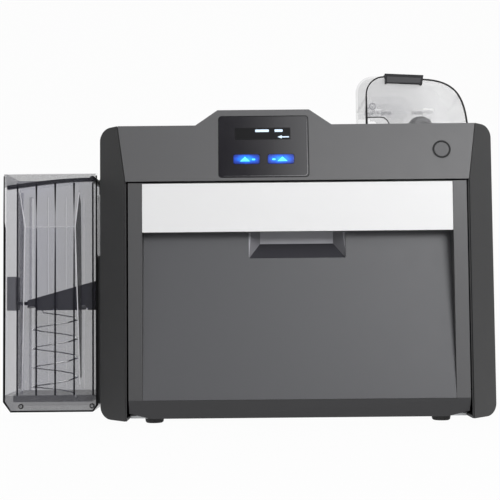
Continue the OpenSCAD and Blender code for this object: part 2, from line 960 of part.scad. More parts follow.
module backbone_plate() {
    color("lightgray") {
        // Rods riveted to the plate: two ribbon guides and the print head's pivot.
        for (at = [guide_low, guide_high])
            rod_y(at, guide_r, web_y - 2, backbone_y + eps);
        rod_y(head_pin_at, head_pin_r, web_y - 8, backbone_y + eps);
        difference() {
            slab_y(backbone_y, backbone_y + plate_t)
                square_at(-bay_x, bay_x, foot_h + wall + 11, body_h - 14);
            for (at = [ribbon_low, ribbon_high, film_low, film_high, platen_at, transfer_at])
                rod_y(at, spindle_r + run_fit, backbone_y - 1, backbone_y + plate_t + 1);
            rod_y(pinion_at, pinion_shaft_r + run_fit, backbone_y - 1, backbone_y + plate_t + 1);
            for (at = feed_places)
                rod_y(at, feed_shaft_r + run_fit, backbone_y - 1, backbone_y + plate_t + 1);
            // Round windows for the wires.
            for (x = [-40, 60])
                rod_y([x, 40], 9, backbone_y - 1, backbone_y + plate_t + 1);
        }
    }
}

feed_shaft_r = 2.5;
pinion_shaft_r = 3;
feed_x = [67.5 - half_w, -62, in_x + 17.2];
feed_low = path_z - 0.6 - feed_r;
feed_places = [for (x = feed_x) [x, feed_low]];

// A cassette: two plates joined by tie bars, with a grip on the front plate.
module cartridge(low, high) {
    lip = flange_r + 3;
    difference() {
        union() {
            for (y = [plate_y, backbone_y - 6])
                slab_y(y, y + 3)
                    round_rect([low[0] - lip, low[1] - lip], [low[0] + lip, high[1] + lip], 12);
            for (x = [low[0] - lip + 6, low[0] + lip - 6], z = [low[1] - lip + 6, high[1] + lip - 6])
                rod_y([x, z], 3, plate_y + 1, backbone_y - 4);
            // Grip between the spools.
            slab_y(plate_y - 7, plate_y + 1)
                round_rect([low[0] - 16, (low[1] + high[1]) / 2 - 4], [low[0] + 16, (low[1] + high[1]) / 2 + 4], 3);
        }
        for (at = [low, high]) {
            rod_y(at, spindle_r + run_fit, plate_y - 9, backbone_y);
            rod_y(at, 0.6 * flange_r, plate_y + 1.6, plate_y + 4);
        }
    }
}

module ribbon_cartridge() {
    color("orange")
        cartridge(ribbon_low, ribbon_high);
}

module film_cartridge() {
    color("steelblue")
        cartridge(film_low, film_high);
}

// A spool with its roll: a core, two flanges, the shaft and a notched knob in front.
module spool(at, roll_r) {
    difference() {
        union() {
            rod_y(at, spindle_r, plate_y - 4, shaft_back - 4);
            rod_y(at, core_r, spool_y, spool_y + spool_len);
            rod_y(at, roll_r, web_y, web_y + web_w);
            for (y = [spool_y, spool_y + spool_len - flange_t])
                rod_y(at, flange_r, y, y + flange_t);
            rod_y(at, 9, plate_y - 5, plate_y - 0.4);
        }
        for (a = [0 : 60 : 300])
            rod_y([at[0] + 10 * cos(a), at[1] + 10 * sin(a)], 2.4, plate_y - 6, plate_y);
        for (a = [30 : 60 : 330])
            rod_y(
                [at[0] + 0.8 * flange_r * cos(a), at[1] + 0.8 * flange_r * sin(a)], 3, spool_y - 1, spool_y + flange_t + 0.5
            );
    }
}

module ribbon_supply() {
    color("khaki")
        spool(ribbon_low, full_r);
}

module ribbon_takeup() {
    color("khaki")
        spool(ribbon_high, started_r);
}

module film_supply() {
    color("lightblue")
        spool(film_low, full_r);
}

module film_takeup() {
    color("lightblue")
        spool(film_high, started_r);
}

// Webs run over wheels, each [centre, path radius, side]: side 1 turns left, -1 turns right.
function wheel(at, r, side) = [at, r + web_gap + web_t / 2, side];

// Direction square to the straight run from one wheel to the next, towards its left.
function run_normal(w, v) =
    let (d = v[0] - w[0], a = acos((v[2] * v[1] - w[2] * w[1]) / norm(d)), b = atan2(d[1], d[0]) + a)
        [cos(b), sin(b)];

function touch(w, n) = w[0] - w[2] * w[1] * n;

// Points round one wheel, from the run that comes in to the run that leaves.
function bend(w, n_in, n_out) =
    let (
        p = -w[2] * n_in,
        q = -w[2] * n_out,
        a = atan2(p[1], p[0]),
        b = atan2(q[1], q[0]),
        turn = w[2] > 0 ? (b - a + 720) % 360 : -((a - b + 720) % 360),
        steps = max(1, ceil(abs(turn) / 20))
    ) arc(w[0], w[1], a, a + turn, steps);

function route(wheels) =
    let (
        last = len(wheels) - 1,
        n = [for (i = [0 : last - 1]) run_normal(wheels[i], wheels[i + 1])]
    ) concat(
        [touch(wheels[0], n[0])],
        [for (i = [1 : 1 : last - 1]) each bend(wheels[i], n[i - 1], n[i])],
        [touch(wheels[last], n[last - 1])]
    );

// A web strip of even thickness along a route in X and Z.
module web(points) {
    last = len(points) - 1;
    side = [
        for (i = [0 : last])
            let (d = unit2(points[min(i + 1, last)] - points[max(i - 1, 0)]))
                [-d[1], d[0]] * web_t / 2
    ];
    slab_y(web_y + 1, web_y + web_w - 1)
        polygon(concat(
            [for (i = [0 : last]) points[i] + side[i]],
            [for (i = [last : -1 : 0]) points[i] - side[i]]
        ));
}

function unit2(v) = v / norm(v);

// The print ribbon runs from its supply past the head to its take-up.
module ribbon_web() {
    color("indigo")
        web(route([
            wheel(ribbon_low, full_r, 1), wheel(guide_low, guide_r, 1), wheel(guide_high, guide_r, 1),
            wheel(ribbon_high, started_r, 1)
        ]));
}

// The film runs from its supply round the platen and the transfer roller to its take-up.
module film_web() {
    color("silver")
        web(route([
            wheel(film_low, full_r, -1), wheel(platen_at, platen_r, -1), wheel(transfer_at, transfer_r, -1),
            wheel(film_high, started_r, -1)
        ]));
}

module roller(at, r, shaft) {
    rod_y(at, r, card_y - roller_len / 2, card_y + roller_len / 2);
    rod_y(at, shaft, card_y - roller_len / 2 - 8, shaft_back);
}

// Gear with straight-sided teeth, drawn flat about the origin.
module gear_flat(teeth) {
    pitch_r = gear_m * teeth / 2;
    root_r = pitch_r - 1.2 * gear_m;
    tip_r = pitch_r + 0.9 * gear_m;
    step = 360 / teeth;
    circle(root_r);
    for (i = [0 : teeth - 1])
        rotate(i * step)
            polygon([
                [root_r - 0.4, -0.72 * gear_m], [pitch_r, -0.66 * gear_m], [tip_r, -0.3 * gear_m],
                [tip_r, 0.3 * gear_m], [pitch_r, 0.66 * gear_m], [root_r - 0.4, 0.72 * gear_m]
            ]);
}

module gear_y(at, teeth, turn) {
    translate([at[0], 0, at[1]])
        slab_y(gear_y, gear_y + gear_w)
            rotate(turn)
                gear_flat(teeth);
}

module platen_roller() {
    color("dimgray") {
        roller(platen_at, platen_r, spindle_r);
        gear_y(platen_at, platen_teeth, 90);
    }
}

module motor_pinion() {
    color("gold") {
        rod_y(pinion_at, pinion_shaft_r, backbone_y - 3, motor_y + 4);
        gear_y(pinion_at, pinion_teeth, 90 + 180 / pinion_teeth);
    }
}

// The motor stands behind the gears on four posts.
motor_y = gear_y + gear_w + 1;

module drive_motor() {
    color("darkgray")
        difference() {
            union() {
                rod_y(pinion_at, motor_r, motor_y + 1, motor_y + 27);
                block([pinion_at[0] - 25, motor_y, pinion_at[1] - 21], [pinion_at[0] + 25, motor_y + 2, pinion_at[1] + 18]);
                for (x = [-21, 21], z = [-17, 14])
                    rod_y([pinion_at[0] + x, pinion_at[1] + z], 3, backbone_y + plate_t, motor_y + 1);
            }
            rod_y(pinion_at, pinion_shaft_r + 0.5, motor_y - 1, motor_y + 5);
        }
}

module transfer_roller() {
    color("firebrick")
        roller(transfer_at, transfer_r, spindle_r);
}

module feed_roller(i) {
    at = feed_places[i];
    color("dimgray") {
        rod_y(at, feed_r, card_y - 24, card_y + 24);
        rod_y(at, feed_shaft_r, card_y - 34, backbone_y + plate_t + 4);
    }
}

module left_feed_roller() {
    feed_roller(0);
}

module middle_feed_roller() {
    feed_roller(1);
}

module right_feed_roller() {
    feed_roller(2);
}

// Guides that carry the card on its way, one channel on each long edge.
module card_rails() {
    color("silver")
        for (y = [card_y - card_w / 2 - 3, card_y + card_w / 2 - 1])
            for (span = [[-bay_x + 0.5, transfer_at[0] - 20], [transfer_at[0] + 20, bay_x - 0.5]])
                difference() {
                    block([span[0], y, path_z - 3], [span[1], y + 4, path_z + 5]);
                    block([span[0] - 1, card_y - card_w / 2 - 0.6, path_z - 0.6], [span[1] + 1, card_y + card_w / 2 + 0.6, path_z + 1.6]);
                }
}

module printhead() {
    z = platen_at[1];
    y0 = web_y;
    y1 = web_y + web_w;
    color("silver")
        difference() {
            union() {
                // Ceramic bar, heat sink with fins, and two arms to the pivot.
                block([head_x - 5, y0, z - 6], [head_x - 0.6, y1, z + 6]);
                block([head_x - 7, y0, z - 10], [head_x - 4.9, y1, z + 10.6]);
                for (i = [0 : 6])
                    block([head_x - 17, y0, z - 10 + i * 3.2], [head_x - 6.9, y1, z - 8.6 + i * 3.2]);
                for (y = [y0 - 4, y1 + 1])
                    slab_y(y, y + 3)
                        polygon([
                            [head_x - 18, z - 12], [head_x - 3, z - 8], [head_x - 3, z + 8],
                            [head_x - 14, z + 24], [head_x - 26, z + 24], [head_x - 26, z + 4]
                        ]);
                block([head_x - 17, y0 - 4, z - 3], [head_x - 10, y1 + 4, z + 3]);
            }
            rod_y(head_pin_at, head_pin_r + run_fit, y0 - 8, y1 + 8);
        }
}

// --- Electronics ---

board_x = 30;
board_l = 120;
board_z = body_h - 176;

module main_board() {
    color("darkgreen")
        slab_y(board_y, board_y + 1.6)
            square_at(board_x, board_x + board_l, board_z, board_z + board_l);
    color("black") {
        for (x = [board_x + 22, board_x + 60, board_x + 98], z = [board_z + 20, board_z + 80])
            block([x - 9, board_y + 1.6, z - 9], [x + 9, board_y + 4, z + 9]);
        for (x = [board_x + 16, board_x + 50, board_x + 84])
            block([x - 8, board_y + 1.6, board_z + 104], [x + 8, board_y + 12, board_z + 114]);
    }
    color("silver")
        for (x = [board_x + 6, board_x + board_l - 6], z = [board_z + 6, board_z + board_l - 6])
            rod_y([x, z], 3, backbone_y + plate_t, board_y);
}

supply_top = foot_h + 98;

module power_supply() {
    color("silver")
        difference() {
            block(
                [inlet_x - 92, backbone_y + plate_t + 24, foot_h + wall + plate_t + 4],
                [inlet_x - 18, rear_y - 8, supply_top]
            );
            for (i = [0 : 6])
                block(
                    [inlet_x - 84 + i * 9, backbone_y + 50, supply_top - 8],
                    [inlet_x - 80 + i * 9, rear_y - 20, supply_top + 1]
                );
        }
    color("silver")
        for (x = [inlet_x - 86, inlet_x - 24], y = [backbone_y + 34, rear_y - 16])
            block([x - 3, y - 3, foot_h + wall], [x + 3, y + 3, foot_h + wall + plate_t + 4.5]);
}

module fan_frame() {
    color("black")
        difference() {
            slab_y(rear_y - 20, rear_y)
                round_rect([fan_at[0] - fan_d / 2 - 1, fan_at[1] - fan_d / 2 - 1], [fan_at[0] + fan_d / 2 + 1, fan_at[1] + fan_d / 2 + 1], 4);
            difference() {
                rod_y(fan_at, fan_d / 2 - 1.5, rear_y - 21, rear_y + 1);
                rod_y(fan_at, 11, rear_y - 3, rear_y + 2);
                for (a = [0, 90])
                    translate([fan_at[0], rear_y - 3, fan_at[1]])
                        rotate([0, a + 45, 0])
                            translate([-fan_d, 0, -1.5])
                                cube([2 * fan_d, 4, 3]);
            }
            rod_y(fan_at, 2 + run_fit, rear_y - 4, rear_y - 0.8);
        }
}

module fan_rotor() {
    color("dimgray") {
        rod_y(fan_at, 11, rear_y - 17, rear_y - 4);
        rod_y(fan_at, 2, rear_y - 5, rear_y - 1);
        for (a = [0 : 51.4286 : 350])
            translate([fan_at[0], rear_y - 10.5, fan_at[1]])
                rotate([0, a, 0])
                    rotate([35, 0, 0])
                        translate([9, -0.6, -6.5])
                            cube([fan_d / 2 - 13, 1.2, 13]);
    }
}

// Mains inlet: a hooded socket with three flat pins.
module power_inlet() {
    color("black")
        difference() {
            block([inlet_x - inlet_w / 2 + clear, rear_y - 24, inlet_z + clear], [inlet_x + inlet_w / 2 - clear, body_d - 0.3, inlet_z + inlet_h - clear]);
            slab_y(body_d - 17, body_d + 1)
                polygon([
                    [inlet_x - 11.5, inlet_z + 2.5], [inlet_x + 11.5, inlet_z + 2.5], [inlet_x + 11.5, inlet_z + 11],
                    [inlet_x + 7, inlet_z + 16.5], [inlet_x - 7, inlet_z + 16.5], [inlet_x - 11.5, inlet_z + 11]
                ]);
        }
    color("silver")
        for (pin = [[-7, 6], [0, 10.5], [7, 6]])
            block([inlet_x + pin[0] - 1, body_d - 18, inlet_z + pin[1] - 2], [inlet_x + pin[0] + 1, body_d - 6, inlet_z + pin[1] + 2]);
}

// Network and data sockets in one block.
module data_ports() {
    color("silver")
        difference() {
            block([port_x, rear_y - 18, port_z], [port_x + port_w, body_d - 0.3, port_z + port_h]);
            block([port_x + 2, body_d - 12, port_z + 2], [port_x + 16, body_d + 1, port_z + 13]);
            block([port_x + 21, body_d - 12, port_z + 3], [port_x + 30, body_d + 1, port_z + 12]);
            block([port_x + 35, body_d - 10, port_z + 3], [port_x + 40.5, body_d + 1, port_z + 13]);
        }
}

// --- Input hopper ---

in_top_r = 19;

// Front outline of the input hopper: a small radius on the left, a long shoulder on the right.
function hopper_outline() = concat(
    [[in_x, body_h - 30]],
    arc([in_x + in_top_r, body_h + in_h - in_top_r], in_top_r, 180, 90, 8),
    curve(
        [in_x + 0.565 * in_w, body_h + in_h - 3], [in_x + 0.877 * in_w, body_h + in_h - 5],
        [in_x + 0.972 * in_w, body_h + in_h - 19], [in_x + in_w, body_h + 4], 12
    ),
    [[in_x + in_w, body_h - 30]]
);

// The outline run back along the lid's slope, moved in by a wall.
module hopper_form(in, y0, y1) {
    intersection() {
        translate([0, in_y, body_h + in_h])
            rotate([in_slope, 0, 0])
                translate([0, -in_y, -body_h - in_h])
                    slab_y(in_y - 40, in_y + in_d + 60)
                        offset(delta = -in)
                            polygon(hopper_outline());
        block([in_x - 1, y0, in_z], [in_x + in_w + 1, y1, body_h + 2 * in_h]);
    }
}

// The card chute's notch at the hopper's lower left, seen through front and back.
module sight_notch(y0, y1, top) {
    slab_y(y0, y1)
        polygon(concat(
            [[in_x + in_wall, body_h + 1.5], [in_x + 27, body_h + 1.5]],
            arc([in_x + 15, top - 9], 9, 20, 90, 5),
            [[in_x + in_wall, top]]
        ));
}

module input_base() {
    color([0.85, 0.86, 0.87, 0.6])
        difference() {
            union() {
                intersection() {
                    difference() {
                        hopper_form(0, in_y + in_wall + clear, in_y + in_d);
                        hopper_form(in_wall, in_y - 1, in_y + in_d - in_wall);
                    }
                    block([in_x - 1, in_y, in_z], [in_x + in_w + 1, in_y + in_d + 1, in_seam_z]);
                }
                // Floor, mounting flange on the left and lip in front.
                block([in_x + 0.4, in_y + in_wall + clear, in_z], [in_x + in_w - 1, in_y + in_d - 0.4, in_z + in_wall]);
                slab_y(in_y + 20, in_y + 60)
                    polygon([[in_x - 17, in_z], [in_x + 1, in_z], [in_x + 1, in_z + 7], [in_x - 6, in_z + 5]]);
                // Hinge knuckles on the rear wall and the arm's boss on the left wall.
                for (x = [in_x + 16, in_x + in_w - 30])
                    knuckle(x, x + 12, -1);
                rod_y([arm_x, arm_z], arm_pin_r + 2.2, card_y - 4, card_y + 4);
                block([in_x + 0.5, card_y - 4, arm_z - 4], [arm_x, card_y + 4, arm_z + 4]);
                // Bearing posts of the pick roller.
                for (side = [-1, 1])
                    slab_y(card_y + side * 28 - 1.5, card_y + side * 28 + 1.5)
                        round_rect([pick_x - 8, in_z], [pick_x + 8, pick_z + 8], 3);
            }
            // Opening over the feed opening of the top cover.
            block([in_x + 10, card_y - 26, in_z - 1], [in_x + in_w - 16, card_y + 26, in_z + in_wall + 1]);
            rod_x([in_pin_y, in_seam_z + 1], in_pin_r, in_x, in_x + in_w);
            rod_y([arm_x, arm_z], arm_pin_r, card_y - 10, card_y + 10);
            rod_y([pick_x, pick_z], pick_shaft_r + run_fit, card_y - 40, card_y + 40);
            sight_notch(in_y + in_d - in_wall - 1, in_y + in_d + 1, body_h + 30);
        }
}

// A hinge knuckle round the lid's pin, joined to the wall below (-1) or above (1).
module knuckle(x0, x1, side) {
    difference() {
        union() {
            rod_x([in_pin_y, in_seam_z + 1], in_pin_r + 1.3, x0, x1);
            if (side < 0)
                slab_x(x0, x1)
                    polygon([
                        [in_y + in_d - 0.6, in_seam_z - 12], [in_pin_y + 2.2, in_seam_z - 1], [in_pin_y - 2, in_seam_z + 1],
                        [in_y + in_d - 0.6, in_seam_z - 0.5]
                    ]);
            else
                slab_x(x0, x1)
                    polygon([
                        [in_y + in_d - 0.6, in_seam_z + 14], [in_pin_y + 2.2, in_seam_z + 3], [in_pin_y - 2, in_seam_z + 1],
                        [in_y + in_d - 0.6, in_seam_z + 2]
                    ]);
        }
        rod_x([in_pin_y, in_seam_z + 1], in_pin_r + (side > 0 ? run_fit : 0), x0 - 1, x1 + 1);
    }
}

module input_lid() {
    color([0.86, 0.87, 0.88, 0.5]) {
        difference() {
            hopper_form(0, in_y, in_y + in_wall);
            sight_notch(in_y - 1, in_y + in_wall + 1, body_h + 15);
        }
        difference() {
            intersection() {
                difference() {
                    hopper_form(0, in_y + in_wall - eps, in_y + in_d);
                    hopper_form(in_wall, in_y - 1, in_y + in_d - in_wall);
                }
                block([in_x - 1, in_y, in_seam_z + 0.5], [in_x + in_w + 1, in_y + in_d + 1, body_h + 2 * in_h]);
            }
            for (x = [in_x + 16, in_x + in_w - 30])
                block([x - 0.5, in_y + in_d - in_wall - 1, in_seam_z - 1], [x + 12.5, in_y + in_d + 1, in_seam_z + 5]);
        }
        for (x = [in_x + 28.5, in_x + in_w - 42.5])
            knuckle(x, x + 12, 1);
    }
}

module lid_pin() {
    color("silver")
        rod_x([in_pin_y, in_seam_z + 1], in_pin_r, in_x + 14, in_x + in_w - 15);
}

module lid_handle() {
    color([0.25, 0.25, 0.26])
        difference() {
            union() {
                // Grip bar on the front edge with a finger lip below.
                slab_y(in_y - 6, in_y + 4)
                    polygon([
                        [in_x + 20, body_h + in_h - 8.5], [in_x + 58, body_h + in_h - 10.5],
                        [in_x + 59.5, body_h + in_h - 0.6], [in_x + 19.5, body_h + in_h + 1.4]
                    ]);
            }
            slab_y(in_y - 3.6, in_y - eps)
                polygon([
                    [in_x + 22, body_h + in_h - 12], [in_x + 56, body_h + in_h - 12],
                    [in_x + 56, body_h + in_h - 3], [in_x + 22, body_h + in_h - 2]
                ]);
            // Seat on the lid's own edge.
            hopper_form(-eps, in_y - eps, in_y + 30);
        }
}

module weight_arm() {
    color([0.8, 0.82, 0.86, 0.6])
        difference() {
            union() {
                slab_y(card_y - 20, card_y - 17.5)
                    arm_outline();
                slab_y(card_y + 17.5, card_y + 20)
                    arm_outline();
                block([arm_x + arm_len - 16, card_y - 19, arm_z - arm_half + 0.5], [arm_x + arm_len - 4, card_y + 19, arm_z - arm_half + 3]);
            }
            rod_y([arm_x, arm_z], arm_pin_r + run_fit, card_y - 24, card_y + 24);
        }
}

module arm_outline() {
    translate([arm_x, arm_z - arm_half])
        square([arm_len - arm_half, 2 * arm_half]);
    translate([arm_x + arm_len - arm_half, arm_z])
        circle(arm_half);
    translate([arm_x, arm_z])
        circle(arm_pin_r + 1.2);
}

module arm_pin() {
    color("gray")
        difference() {
            rod_y([arm_x, arm_z], arm_pin_r, card_y - 24, card_y + 24);
            rod_y([arm_x, arm_z], 1.4, card_y - 25, card_y - 20);
        }
}

module pick_roller() {
    color("dimgray") {
        rod_y([pick_x, pick_z], pick_r, card_y - 9, card_y + 9);
        rod_y([pick_x, pick_z], pick_shaft_r, card_y - 30, card_y + 30);
    }
}

// --- Output hopper ---

// Plan of the smoked case, moved in by its wall.
module case_plan(in) {
    translate([out_x, out_y])
        round_rect([in, in], [out_w - in, out_d - in], 2.6 - in);
}

// A window in the case's front wall with flared sides, where fingers reach the cards.
module finger_window(y0, y1) {
    half = notch_w / 2;
    slab_y(y0, y1)
        polygon([
            [notch_x - half, notch_z], [notch_x + half, notch_z], [notch_x + half + 4.5, flap_pin_z - 6],
            [notch_x - half - 4.5, flap_pin_z - flap_drop - 3.5]
        ]);
}

module output_case() {
    color([0.5, 0.5, 0.53, 0.5])
        difference() {
            union() {
                difference() {
                    slab_z(case_z, out_top)
                        case_plan(0);
                    slab_z(case_z - 1, out_top + 1)
                        case_plan(out_wall);
                }
                for (i = [0 : rib_count - 1]) {
                    x = rib_x + (i - (rib_count - 1) / 2) * rib_pitch;
                    block([x - rib_t / 2, out_y + out_wall - eps, case_z], [x + rib_t / 2, out_y + out_wall + rib_h, out_top - 18]);
                    block(
                        [x - rib_t / 2, out_y + out_d - out_wall - rib_h, case_z],
                        [x + rib_t / 2, out_y + out_d - out_wall + eps, out_top - 18]
                    );
                }
                // Guide rail of the lift platform.
                block([out_x + 15.5, out_y + out_wall - eps, case_z], [out_x + 18.3, out_y + out_wall + 9, out_top - 19]);
                block([out_x + 15.5, out_y + out_d - out_wall - 9, case_z], [out_x + 18.3, out_y + out_d - out_wall + eps, out_top - 19]);
            }
            finger_window(out_y - 1, out_y + out_wall + rib_h + 0.5);
            // Mouth for the cards in the right wall.
            block([out_right - out_wall - 1, card_y - slot_w / 2 - 2, path_z - slot_h / 2 - 2], [out_right + 1, card_y + slot_w / 2 + 2, out_top + 1]);
            rod_y([flap_pin_x, flap_pin_z], flap_pin_r, out_y - 1, out_y + out_d + 1);
        }
}

module output_base() {
    color([0.3, 0.3, 0.32])
        difference() {
            slab_y(out_y, out_y + out_d)
                polygon([
                    [out_x, case_z], [out_x, out_bottom + 10.5], [out_x + 7.7, out_bottom],
                    [out_right - 5, out_bottom], [out_right, out_bottom + 6], [out_right, case_z]
                ]);
            translate([0, 0, seat_z])
                linear_extrude(20)
                    translate([out_x, out_y])
                        round_rect([9, 4], [out_w - 6, out_d - 4], 3);
            // Counterbores of the two screws.
            for (x = base_screw_x) {
                rod_y([x, base_screw_z], base_screw_r, out_y - 1, out_y + 3.4);
                rod_y([x, base_screw_z], base_head_r + 0.2, out_y - 1, out_y + 1.2);
            }
        }
}

base_screw_x = [out_x + 18.5, out_right - 6];
base_screw_r = 1.2;
base_head_r = 2.6;
base_screw_z = out_bottom + 6;

// Bracket that hangs the output hopper on the body's side.
module output_bracket() {
    color([0.1, 0.1, 0.1])
        difference() {
            block([out_right, out_y + 3, out_bottom + 8], [-half_w, out_y + out_d - 3, platform_z + 56]);
            for (z = [40, 80, 120])
                slab_x(out_right - 1, -half_w + 1)
                    round_rect([out_y + 12, z], [out_y + out_d - 12, z + 24], 4);
        }
}

module lift_platform() {
    y0 = out_y + (out_d - platform_depth) / 2;
    y1 = y0 + platform_depth;
    left_top = platform_z + platform_h - (platform_r - platform_l) * tan(platform_slope);
    color([0.19, 0.19, 0.21])
        difference() {
            union() {
                slab_y(y0, y1)
                    polygon([
                        [platform_l, platform_z], [platform_r, platform_z],
                        [platform_r, platform_z + platform_h], [platform_l, left_top]
                    ]);
                // Shoe that runs in the channel beside the guide rail.
                slab_y(out_y + out_wall + 0.8, out_y + out_wall + 20)
                    round_rect([out_x + out_wall + 0.8, platform_z], [out_x + 12.6, platform_z + 35], 1);
                // Bridge between the guide rails, from the shoe to the platform.
                block(
                    [out_x + 8, out_y + out_wall + 10, platform_z + 5.4],
                    [platform_l + 8, out_y + out_d - out_wall - 10, platform_z + 9]
                );
            }
            // Arches at the ends of the underside and a notch in the middle.
            rod_y([platform_l + 4.4, platform_z - 1], 5.6, y0 - 1, y1 + 1);
            rod_y([platform_r - 13, platform_z - 0.4], 5.4, y0 - 1, y1 + 1);
            block([spring_x + 3, y0 - 1, platform_z - 1], [spring_x + 8, y1 + 1, platform_z + 1.4]);
            // Hollow underside round the spring's seat.
            translate([spring_x, card_y, platform_z - 1])
                difference() {
                    cylinder(r = spring_d / 2 - 4, h = 6);
                    cylinder(r = spring_d / 2 - 9, h = 9);
                }
        }
}

// Centre line of the platform's spring: up from its seat, round its turns, and up to the platform.
spring_r = (spring_d - spring_wire) / 2;
spring_low = seat_z + 2 * spring_wire;
spring_high = platform_z - 2 * spring_wire;
rings = 8;
sides = 6;
spring_path = concat(
    [[spring_r, 0, seat_z], [spring_r, 0, seat_z + spring_wire]],
    [
        for (i = [1 : round(spring_turns * rings)])
            let (a = 360 * i / rings, t = i / round(spring_turns * rings))
                [spring_r * cos(a), spring_r * sin(a), spring_low + (spring_high - spring_low) * t]
    ],
    [
        for (up = [spring_wire, 2 * spring_wire])
            let (a = 360 * round(spring_turns * rings) / rings)
                [spring_r * cos(a), spring_r * sin(a), spring_high + up]
    ]
);

function unit(v) = v / norm(v);
function heading(path, i) = i == 0 || i == len(path) - 1 ? [0, 0, 1] : unit(path[i + 1] - path[i - 1]);

// Rings of points square to the path, each with one spoke to the helix's axis.
function tube_ring(path, i, r) =
    let (
        t = heading(path, i),
        out = unit([path[i][0], path[i][1], 0]),
        u = unit(out - (out * t) * t),
        v = cross(t, u)
    ) [for (k = [0 : sides - 1]) path[i] + r * (cos(360 * k / sides) * u + sin(360 * k / sides) * v)];

// Least gap between stretches of the wire that lie half a turn or more apart.
function least_gap(path, wire) = min([
    for (i = [0 : len(path) - 1], j = [i + rings / 2 : 1 : len(path) - 1])
        norm(path[i] - path[j])
]) - wire;

echo(spring_least_gap = least_gap(spring_path, spring_wire));

module platform_spring() {
    n = len(spring_path);
    points = [for (i = [0 : n - 1]) each tube_ring(spring_path, i, spring_wire / 2)];
    color("silver")
        translate([spring_x, card_y, 0])
            polyhedron(
                points = points,
                faces = concat(
                    [for (k = [1 : sides - 2]) [0, k, k + 1]],
                    [for (k = [1 : sides - 2]) [(n - 1) * sides, (n - 1) * sides + k + 1, (n - 1) * sides + k]],
                    [
                        for (i = [0 : n - 2], k = [0 : sides - 1])
                            let (a = i * sides + k, b = i * sides + (k + 1) % sides)
                                each [[a, a + sides, b + sides], [a, b + sides, b]]
                    ]
                )
            );
}

// Flap over the cards: a slightly curved arm behind the front wall, on a tube that turns about the pin.
module top_flap() {
    left = out_x + out_wall + 0.6;
    color([0.16, 0.16, 0.18])
        difference() {
            union() {
                slab_y(out_y + out_wall + 0.7, out_y + out_wall + 6.5)
                    polygon(concat(
                        curve(
                            [flap_pin_x + 1, flap_pin_z + 1.2], [flap_pin_x - 32, flap_pin_z + 1],
                            [left + 32, flap_pin_z - flap_drop + 6.4], [left, flap_pin_z - flap_drop + 2], 8
                        ),
                        curve(
                            [left, flap_pin_z - flap_drop - 2], [left + 32, flap_pin_z - flap_drop + 2],
                            [flap_pin_x - 32, flap_pin_z - 2.6], [flap_pin_x + 1, flap_pin_z - 2.6], 8
                        )
                    ));
                rod_y([flap_pin_x, flap_pin_z], flap_pin_r + 1.5, out_y + out_wall + 0.7, out_y + out_d - out_wall - 0.7);
            }
            rod_y([flap_pin_x, flap_pin_z], flap_pin_r + run_fit, out_y, out_y + out_d);
        }
}

module flap_pin() {
    color("black")
        rod_y([flap_pin_x, flap_pin_z], flap_pin_r, out_y - 0.4, out_y + out_d + 0.4);
}

place() base_pan();
place() rubber_feet();
place() left_cover();
place() right_cover();
place() top_cover();
place() rear_panel();
place() case_screws();
place() front_bezel();
place() display_lens();
place() display_screen();
place() left_key();
place() right_key();
place() power_ring();
place() power_button();
place() door_shell();
place() door_panel();
place() white_band();
place() pull_pocket();
place() door_latches();
place() hinge_pins();
place() left_frame();
place() right_frame();
place() backbone_plate();
place() ribbon_cartridge();
place() ribbon_supply();
place() ribbon_takeup();
place() ribbon_web();
place() film_cartridge();
place() film_supply();
place() film_takeup();
place() film_web();
place() platen_roller();
place() transfer_roller();
place() printhead();
place() card_rails();
place() left_feed_roller();
place() middle_feed_roller();
place() right_feed_roller();
place() drive_motor();
place() motor_pinion();
place() main_board();
place() power_supply();
place() fan_frame();
place() fan_rotor();
place() power_inlet();
place() data_ports();
place() input_base();
place() input_lid();
place() lid_handle();
place() lid_pin();
place() weight_arm();
place() arm_pin();
place() pick_roller();
place() output_case();
place() output_base();
place() output_bracket();
place() lift_platform();
place() platform_spring();
place() top_flap();
place() flap_pin();
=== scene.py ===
# Desktop card printer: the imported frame, its finishes, its small trim, a studio and the photograph's camera.
import json
import math

import bmesh
import bpy
from mathutils import Matrix, Vector

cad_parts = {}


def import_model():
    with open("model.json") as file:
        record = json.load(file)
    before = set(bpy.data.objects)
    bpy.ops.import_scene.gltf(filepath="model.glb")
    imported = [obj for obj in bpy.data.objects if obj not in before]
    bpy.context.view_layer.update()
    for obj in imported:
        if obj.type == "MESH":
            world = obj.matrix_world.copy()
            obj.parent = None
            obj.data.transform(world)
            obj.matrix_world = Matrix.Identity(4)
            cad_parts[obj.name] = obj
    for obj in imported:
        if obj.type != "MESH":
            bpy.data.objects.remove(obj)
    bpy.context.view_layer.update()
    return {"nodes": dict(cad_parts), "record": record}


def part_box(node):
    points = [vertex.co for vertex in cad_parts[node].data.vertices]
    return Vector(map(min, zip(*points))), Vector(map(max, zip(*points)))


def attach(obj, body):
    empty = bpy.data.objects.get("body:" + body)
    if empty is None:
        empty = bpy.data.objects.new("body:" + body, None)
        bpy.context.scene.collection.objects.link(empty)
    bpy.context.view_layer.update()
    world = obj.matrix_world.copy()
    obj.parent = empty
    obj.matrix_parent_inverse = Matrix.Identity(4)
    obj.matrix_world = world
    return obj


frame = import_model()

NODES = frame["nodes"]
SCENE = bpy.context.scene
MM = 0.001


# --- Places: X from the body's middle, Y from the door's face and Z from the table, in millimetres ---

BEZEL_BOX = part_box("front_bezel")
MIDDLE = Vector(((BEZEL_BOX[0][0] + BEZEL_BOX[1][0]) / 2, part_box("door_shell")[0][1], 0.0))


def at(x, y, z):
    """The point of the frame at a place, in metres."""
    return Vector((x, y, z)) * MM + MIDDLE


def on_axis(axis, place):
    """A place along one axis of the frame, in metres."""
    return at(place, place, place)["XYZ".index(axis)]


def corners_of(node):
    """The places of a node's lowest and highest corners."""
    return [(Vector(corner) - MIDDLE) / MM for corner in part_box(node)]


